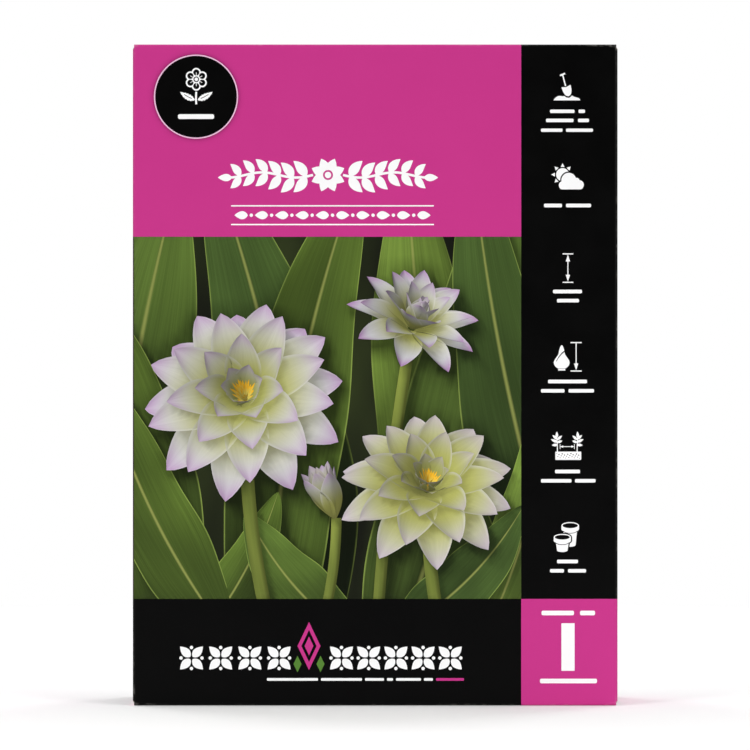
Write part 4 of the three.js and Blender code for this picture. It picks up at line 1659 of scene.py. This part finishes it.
def half_depth(x, height):
    """Half the bag's depth: its greatest half depth times the root of 1 - |u|^3 times the fullness."""
    u = np.clip(np.abs(x) / BAG_HALF_WIDTH, 0, 1)
    return BAG_HALF_DEPTH * np.sqrt(1 - u ** 3) * fullness(height)


# %% The creases of crumpled film
def ridges(a, b, turn, pitch, seed):
    """Sharp parallel creases across a direction: (1 - |sin|) cubed of the distance along it, which is
    bent by a slower sine and faded in and out by another."""
    along = a * math.cos(turn) + b * math.sin(turn)
    beside = b * math.cos(turn) - a * math.sin(turn)
    bent = along + 0.4 * pitch * np.sin(beside / pitch * 1.9 + seed)
    fade = 0.5 + 0.5 * np.sin(beside / pitch * 0.9 + along / pitch * 0.35 + 2.3 * seed)
    return (1 - np.abs(np.sin(np.pi * bent / pitch + seed))) ** 3 * fade


def crumple(a, b, seed):
    """Six sets of creases in different directions, added."""
    sets = enumerate(((0.3, 19), (1.9, 23), (1.1, 15), (2.6, 27), (0.8, 11), (2.2, 9)))
    return sum(pitch / 23 * ridges(a, b, turn, pitch, seed + 1.7 * k) for k, (turn, pitch) in sets)


# %% Finish: clear film
def make_clear_film():
    """Clear film: a thin cover that is stronger on the creases, in the seal and round the punched holes.
    The holes are left out by a mask: the least distance to their middles, seen from the front."""
    material, tree, shader = surface_shader("clear_film", 0.12, 0.8)
    where = object_place(tree)
    axes = axes_of(tree, where)
    flat = add(tree, "CombineXYZ", {"X": axes["X"], "Z": axes["Z"]}).outputs[0]
    nearest = 1.0
    for x, height in PUNCHES:
        middle = (x * MM, 0, height * MM)
        away = add(tree, "VectorMath", {0: flat, 1: middle}, operation="DISTANCE").outputs["Value"]
        nearest = math_node(tree, "MINIMUM", away, nearest)
    film = ramp(tree, nearest, (PUNCH_RADIUS - 0.02) * MM, (PUNCH_RADIUS + 0.04) * MM)
    rim = ramp(tree, nearest, PUNCH_RADIUS * MM, (PUNCH_RADIUS + 0.5) * MM, 0.35, 0.0)
    cloudy = axes_of(tree, painted(tree, "place")["Vector"])["Z"]
    cover = math_node(tree, "ADD", math_node(tree, "MULTIPLY_ADD", cloudy, 0.22, 0.06), rim)
    cover = math_node(tree, "MULTIPLY", cover, film)
    feed(tree, shader, {"Base Color": rgba(246, 249, 250), "Alpha": cover})
    cells = add(tree, "TexVoronoi", {"Vector": where, "Scale": 130.0}, feature="DISTANCE_TO_EDGE")
    facets = math_node(tree, "MINIMUM", cells.outputs["Distance"], 0.3)
    raise_surface(tree, shader, facets, 0.6 * MM, 0.5)
    return material


clear_film = make_clear_film()


# %% The film bag
def make_film_bag():
    """Rings from the foot to the zigzag edge. Round each ring, x is minus the cosine of the turn times
    the half width, and y is half the depth, forward in the first half turn and back in the second. Both
    sheets of the seal share a fine sine wave, which is its crimp, and its top edge is cut in teeth."""
    body = np.linspace(0, 1, 84) ** 0.9 * (BAG_HEAD - BAG_FOOT) + BAG_FOOT + 0.02
    height = np.concatenate([body, np.arange(BAG_HEAD + 0.4, SEAL_TOP, 0.4)])[:, None]
    turn = np.linspace(0, 2 * np.pi, 120, endpoint=False)[None, :]
    seal = smooth_step(height, BAG_HEAD - 16, BAG_HEAD + 0.5)
    half_width = BAG_HALF_WIDTH + (SEAL_HALF_WIDTH - BAG_HALF_WIDTH) * seal
    x = -half_width * np.cos(turn)
    sheet = np.where(turn < np.pi, -1.0, 1.0)
    depth = half_depth(-BAG_HALF_WIDTH * np.cos(turn), height)
    open_share = np.clip(depth / 3.0, 0, 1)
    folds = crumple(x, height + 40 * sheet, 1.0) * 0.9 * open_share
    gathers = 1.1 * ridges(x, height * 0.12, 0.0, 13, 0.6) * np.exp(-np.abs(BAG_HEAD - height) / 18)
    rise = np.clip(height - BAG_HEAD, 0, None)
    crimp = CRIMP * np.sin(2 * np.pi * rise / CRIMP_PITCH) * (rise > 0)
    sway = 1.6 * np.sin(x / 21 + 0.7) * smooth_step(height, 118, SEAL_TOP)
    y = sheet * (depth + 0.05 - folds * 0.8 + gathers * open_share) + crimp + sway
    teeth = 0.9 * np.abs((x / TOOTH_PITCH) % 1 - 0.5) * smooth_step(rise, 11.6, 12.4)
    outer = stacked(x, y, height - teeth)
    thin = stacked(np.sign(x) * 0.02, sheet * 0.04, 0 * height)
    cloud = np.clip(folds * 0.5 + 0.55 * (rise > 0) + 0.3 * gathers, 0, 1)
    place = stacked(x / BAG_HALF_WIDTH, height / SEAL_TOP, cloud)
    film = skin(outer * MM, (outer - thin) * MM, wrap=True, place=place)
    return build("clear_bag", [film], [clear_film], smooth_angle=60.0)


finish_piece(make_film_bag(), stands_for="film_bag")

# %% [markdown]
# The fill is wood shavings: thin curls, each a short strip that bends along a spiral. A particle system
# could scatter copies of one curl, but here each has its own size and bend. Most of the heap is hidden, so
# one lumpy body fills it, and real curls lie in its skin and on its top. The body is a darker brown than any
# curl, as painted shade for the gaps deep in the heap. Every curl is pressed against the film where it
# would poke through. A wood image would need each curl unwrapped. So each carries its own tint and its own
# place, and noise draws the grain along it.

# %% Finish: wood
def make_wood():
    """Raw wood: the attribute "ink" times 1 plus streaks along the curl, matt and slightly rough."""
    material, tree, shader = surface_shader("shaving_wood", 0.82, 0.3)
    lines = use_group(tree, streaks, {"Across": 6.0, "Along": 1.2, "Slant": 0.0})["Value"]
    speck = math_node(tree, "MULTIPLY_ADD", noise(tree, object_place(tree), 700.0, 3.0), 0.5, 0.75)
    both = math_node(tree, "MULTIPLY_ADD", lines, 0.8, speck)
    feed(tree, shader, {"Base Color": scaled(tree, painted(tree, "ink")["Color"], both)})
    raise_surface(tree, shader, both, 0.2 * MM, 0.7)
    return material


shaving_wood = make_wood()

# %% The body of the heap
HEAP_TOP, HEAP_SLOPE = 112.0, math.tan(math.radians(7))


def solid_tube(rings, tint):
    """A closed solid: a wrapped grid of rings with a flat cap on its first and its last ring."""
    colour = np.concatenate([tint, np.ones_like(tint[..., :1])], axis=-1)
    rows, columns = rings.shape[:2]
    loop = np.arange(columns)
    faces = [grid_faces(rows, columns, wrap=True), loop[None, ::-1], loop[None, :] + (rows - 1) * columns]
    return part(rings.reshape(-1, 3), faces, colour=colour)


def lumps(a, b, seed):
    """Rolling lumps: the products of sines of three sizes, added."""
    return sum(size / 17 * np.sin(a / size * 2 + seed + k) * np.sin(b / size * 2.3 + 2 * seed - k)
               for k, size in enumerate((17.0, 9.0, 5.0)))


def make_heap():
    """The body of the fill: rings inside the bag up to the sloped top, then smaller rings that close it."""
    turn = np.linspace(0, 2 * np.pi, 96, endpoint=False)[None, :]
    share = np.linspace(0, 1, 60)[:, None]
    x = -(BAG_HALF_WIDTH - 1.2) * np.cos(turn) * np.ones_like(share)
    top = HEAP_TOP - 3 - x * HEAP_SLOPE
    height = BAG_FOOT + 0.6 + (top - BAG_FOOT - 0.6) * share
    sheet = np.where(turn < np.pi, -1.0, 1.0)
    y = sheet * np.clip(half_depth(x, height) - 3.6 + 0.6 * lumps(x, height + 30 * sheet, 1.0), 0.05, None)
    wall = stacked(x, y, height)
    lids = []
    for shrink in (0.85, 0.62, 0.36, 0.08):
        ring = wall[-1] * np.array([shrink, shrink, 1])
        ring[:, 2] = HEAP_TOP - 2.5 - ring[:, 0] * HEAP_SLOPE + 1.4 * lumps(ring[:, 0], ring[:, 1], 2.0)
        lids.append(ring)
    rings = np.concatenate([wall, np.array(lids)])
    # The body is a darker brown than any curl: painted shade for the gaps deep in the heap. The slow lumps
    # vary its tone.
    tint = srgb(128, 94, 54) * (0.8 + 0.2 * lumps(rings[..., 0], rings[..., 2], 3.0)[..., None])
    return solid_tube(rings * MM, tint)


# %% Where the curls lie
def scattered(chance, count):
    """The middle of each curl, its directions outwards, onwards and sideways, and its roll, by random
    draws. A fifth lie on the sloped top and face up. The others lie just inside the film and face it."""
    on_top = chance.random(count) < 0.2
    x = chance.uniform(-0.93, 0.93, count) * BAG_HALF_WIDTH
    top = HEAP_TOP - x * HEAP_SLOPE
    height = np.where(on_top, top + chance.uniform(-2.5, 2.0, count), 3.5 + (top - 5) * chance.random(count))
    sheet = np.where(chance.random(count) < 0.5, -1.0, 1.0)
    depth = half_depth(x, height)
    sunk = chance.uniform(0.8, 3.8, count)
    y = np.where(on_top, chance.uniform(-0.8, 0.8, count) * depth, sheet * (depth - sunk))
    outward = np.where(on_top[:, None], Z_AXIS, sheet[:, None] * Y_AXIS)
    roll = chance.uniform(0, 2 * np.pi, count)
    first = unit(np.cross(outward, [1.0, 0.01, 0.02]))
    second = np.cross(outward, first)
    onwards = first * np.cos(roll)[:, None] + second * np.sin(roll)[:, None]
    sideways = np.cross(outward, onwards)
    tilt = chance.uniform(-0.5, 0.5, count)[:, None]
    outward, sideways = unit(outward + sideways * tilt), unit(sideways - outward * tilt)
    return np.array([stacked(x, y, height), outward, onwards, sideways])[:, :, None, None], roll


def pressed(points, room):
    """Keeps points inside the bag: x within its half width, the height above its foot, and y within
    half its depth at that place, each less the room."""
    x = np.clip(points[..., 0], -(BAG_HALF_WIDTH - 2 - room), BAG_HALF_WIDTH - 2 - room)
    height = np.clip(points[..., 2], BAG_FOOT + 1.5 + room, None)
    limit = np.clip(half_depth(x, height) - 1.1 - room, 0.05, None)
    return stacked(x, np.clip(points[..., 1], -limit, limit), height)


# %% The curls
def make_curls(count=1850, along=8):
    """Strips whose middle line is a spiral: R sin(t) onwards and R (1 - cos t) outwards, with a steady
    drift sideways. Places, turns and sizes come from a seeded random generator."""
    chance = np.random.default_rng(7)
    (centre, outward, onwards, sideways), roll = scattered(chance, count)
    s = np.linspace(-0.5, 0.5, along)[None, None, :]
    u = np.linspace(-1, 1, 2)[None, :, None]
    length = chance.uniform(9, 24, count)[:, None, None]
    width = chance.uniform(1.3, 3.1, count)[:, None, None] * (0.55 + 0.45 * np.cos(np.pi * s))
    arc = chance.uniform(0.8, 5.2, count)[:, None, None]
    radius = length / arc
    forward = radius * np.sin(arc * s)
    rise = radius * (1 - np.cos(arc * s)) - 0.25 * radius
    drift = chance.uniform(-0.35, 0.35, count)[:, None, None] * length * s
    aside = drift + width * u

    def placed(lift):
        out = (rise + lift)[..., None] * outward
        return centre + forward[..., None] * onwards + out + aside[..., None] * sideways

    made = []
    tints = blend_colours(srgb(226, 196, 146), srgb(172, 124, 72), chance.random(count) ** 1.3)
    uppers, lowers = pressed(placed(0.12), 0.3), pressed(placed(-0.12), 0.55)
    for upper, lower, tint, seed in zip(uppers, lowers, tints, roll):
        colour = np.broadcast_to([*tint, 1.0], (2, along, 4))
        place = stacked(u[0], s[0] + 0.5, seed * 9)
        made.append(skin(upper * MM, lower * MM, colour=colour, place=place))
    return made


wood_shavings = build("wood_shavings", [make_heap()] + make_curls(), [shaving_wood], smooth_angle=50.0)
finish_piece(wood_shavings, stands_for="shavings")

# %% [markdown]
# The rhizome is a short ringed stem with a bud, two fingers and a few fleshy storage roots. It could be
# sculpted, but each part is only a bent, swollen tube, so one formula makes all seven. The rings are
# where old leaves sat, so the skin steps in at each of them. Its colours could be painted on, but they
# only run from base to tip and darken at the rings, so the same formula gives them.

# %% Finish: papery skin
def make_skin():
    """Dry skin: the attribute "ink" darkened by coarse and fine noise, with shallow wrinkles."""
    material, tree, shader = surface_shader("rhizome_skin", 0.78, 0.25)
    where = object_place(tree)
    both = math_node(tree, "ADD", noise(tree, where, 260.0, 4.0), noise(tree, where, 1700.0, 2.0))
    strength = math_node(tree, "MULTIPLY_ADD", both, 0.7, 0.3)
    feed(tree, shader, {"Base Color": scaled(tree, painted(tree, "ink")["Color"], strength)})
    raise_surface(tree, shader, strength, 0.4 * MM, 0.6)
    return material


papery_skin = make_skin()


# %% The rhizome
def ringed_body(start, direction, length, radius, rings, tones, tail=0.35, bow=0.0):
    """A swollen stem. Along s from 0 to 1 its radius is the given one times sin(pi (tail + (1 - tail) s)
    ^1.15)^0.55. Each ring is a sawtooth step of 7 in a hundred, and slow lumps go round it. The tones
    are its colours at the start, the middle and the tip."""
    s = np.linspace(0.004, 0.996, 12 * max(rings, 4))[:, None]
    turn = np.linspace(0, 2 * np.pi, 32, endpoint=False)[None, :]
    ahead = unit(np.array(direction))
    aside = unit(np.cross(ahead, Y_AXIS))
    beside = np.cross(ahead, aside)
    swell = np.sin(np.pi * (tail + (1 - tail) * s) ** 1.15) ** 0.55
    step = (rings * s + 0.06 * np.sin(3 * turn + 5 * s)) % 1
    lump = 0.05 * np.sin(2 * turn + 9 * s) + 0.03 * np.sin(5 * turn - 7 * s)
    ends = np.minimum(1, np.sqrt(s / 0.05))
    r = radius * swell * ends * (1 - 0.07 * step + lump)
    middle = start + s[..., None] * length * ahead + (bow * np.sin(np.pi * s))[..., None] * aside
    points = middle + (r * np.cos(turn))[..., None] * aside + (r * np.sin(turn))[..., None] * beside
    first, second, third = tones
    tint = blend_colours(first, second, smooth_step(s, 0.0, 0.45))
    tint = blend_colours(tint, third, smooth_step(s, 0.6, 1.0))
    dark = 1 - 0.45 * np.exp(-((step - 0.97) / 0.08) ** 2) - 0.2 * np.exp(-(step / 0.1) ** 2)
    return solid_tube(points * MM, tint * dark[..., None])


# %% The stem, its bud, fingers and roots
# Each has its start, direction, length, radius, number of rings and tones.
TAN, OCHRE, PALE, PINK, ROOT = (srgb(156, 112, 66), srgb(176, 134, 82), srgb(206, 176, 124),
                                srgb(206, 132, 128), srgb(196, 162, 108))
RHIZOME = [
    ringed_body((0, 0, 84), (0.1, -0.02, 1), 40, 9.4, 7, (TAN, OCHRE, OCHRE), bow=0.6),
    ringed_body((3.4, -0.6, 118), (0.12, -0.04, 1), 17, 4.0, 3, (OCHRE, PALE, PINK)),
    ringed_body((4, 0, 96), (1, -0.06, 0.42), 31, 6.2, 6, (TAN, OCHRE, PALE), bow=0.8),
    ringed_body((-3, 0, 94), (-1, 0.05, 0.5), 27, 5.6, 5, (TAN, OCHRE, PALE), bow=-0.8),
    ringed_body((-4, 0, 92), (-0.5, 0.04, -1), 34, 3.4, 3, (TAN, ROOT, ROOT), 0.02, 0.9),
    ringed_body((1, -1, 90), (0.08, -0.06, -1), 40, 3.8, 3, (TAN, ROOT, ROOT), 0.02, -0.9),
    ringed_body((5, 0, 92), (0.62, 0.05, -1), 33, 3.2, 3, (TAN, ROOT, ROOT), 0.02, 0.8),
]
flower_rhizome = build("flower_rhizome", RHIZOME, [papery_skin], smooth_angle=50.0)
finish_piece(flower_rhizome, stands_for="rhizome")

# %% [markdown]
# The photograph looks straight at the front panel. A long lens from well back shows the panel without
# its sides, and the picture's width at the panel is its 750 pixels times the scale.

# %% Camera
LENS, SENSOR = 200.0, 36.0
FRAME_WIDTH = PHOTO_SIZE * PIXEL
CAMERA_DISTANCE = FRAME_WIDTH * LENS / SENSOR
camera_data = bpy.data.cameras.new("camera")
camera_data.lens, camera_data.sensor_width = LENS, SENSOR
camera = bpy.data.objects.new("camera", camera_data)
bpy.context.scene.collection.objects.link(camera)
camera_x, camera_z = in_pixels((PHOTO_SIZE / 2, PHOTO_SIZE / 2))
camera.location = (camera_x, FRONT - CAMERA_DISTANCE, camera_z)
camera.rotation_euler = (math.radians(90), 0, 0)
bpy.context.scene.camera = camera
print("camera distance in mm:", round(CAMERA_DISTANCE / MM, 1))

# %% [markdown]
# The pack stands on a pale round table in an even, soft light: two large lamps in front, far enough to
# the sides that the varnish doesn't mirror them to the camera, one above and two behind.

# %% Table, lamps and surroundings
TABLE_RADIUS = 0.55


def make_table():
    """A flat disc just below the pack, as a fan of rings, with a faintly uneven matt surface."""
    turn = np.linspace(0, 2 * np.pi, 96, endpoint=False)
    radii = np.array([TABLE_RADIUS, 0.3, 0.12, 0.0001])[:, None]
    disc = stacked(radii * np.cos(turn), radii * np.sin(turn), -0.1 * MM)
    material, tree, shader = surface_shader("table", 0.9, 0.1)
    cloud = noise(tree, object_place(tree), 9.0, 3.0)
    colour = mix_colour(tree, cloud, rgba(246, 246, 246), rgba(250, 250, 250))
    glow = {"Emission Color": rgba(255, 255, 255), "Emission Strength": 0.12}
    feed(tree, shader, {"Base Color": colour, **glow})
    return build("table", [skin(disc, disc - 8 * MM * Z_AXIS, wrap=True)], [material])


make_table()


def lamp(name, place, target, width, height, power):
    """A soft rectangular lamp that faces its target."""
    data = bpy.data.lights.new(name, "AREA")
    data.shape, data.size, data.size_y, data.energy = "RECTANGLE", width, height, power
    made = bpy.data.objects.new(name, data)
    bpy.context.scene.collection.objects.link(made)
    made.location = place
    aim = np.subtract(target, place)
    flat = math.hypot(aim[0], aim[1])
    made.rotation_euler = (math.atan2(flat, -aim[2]), 0, math.atan2(aim[1], aim[0]) - math.pi / 2)


MIDDLE = (0, 0, TOP / 2)
lamp("front_left", (-1.15, -1.15, 0.55), MIDDLE, 0.7, 1.0, 12.4)
lamp("front_right", (1.15, -1.15, 0.55), MIDDLE, 0.7, 1.0, 12.4)
lamp("above", (0, 0.1, 1.5), (0, 0, 0), 1.2, 1.2, 13.0)
lamp("rear_left", (-1.1, 1.3, 0.7), MIDDLE, 0.8, 0.8, 9.0)
lamp("rear_right", (1.1, 1.3, 0.7), MIDDLE, 0.8, 0.8, 9.0)


def make_surroundings():
    """The camera sees plain white around the pack, and everything else is lit by a dim grey."""
    world = bpy.data.worlds.new("surroundings")
    world.use_nodes = True
    tree = world.node_tree
    seen = add(tree, "LightPath").outputs["Is Camera Ray"]
    strength = math_node(tree, "MULTIPLY_ADD", seen, 0.85, 0.15)
    feed(tree, tree.nodes["Background"], {"Color": (1, 1, 1, 1), "Strength": strength})
    bpy.context.scene.world = world


make_surroundings()
bpy.context.scene.view_settings.view_transform = "Standard"
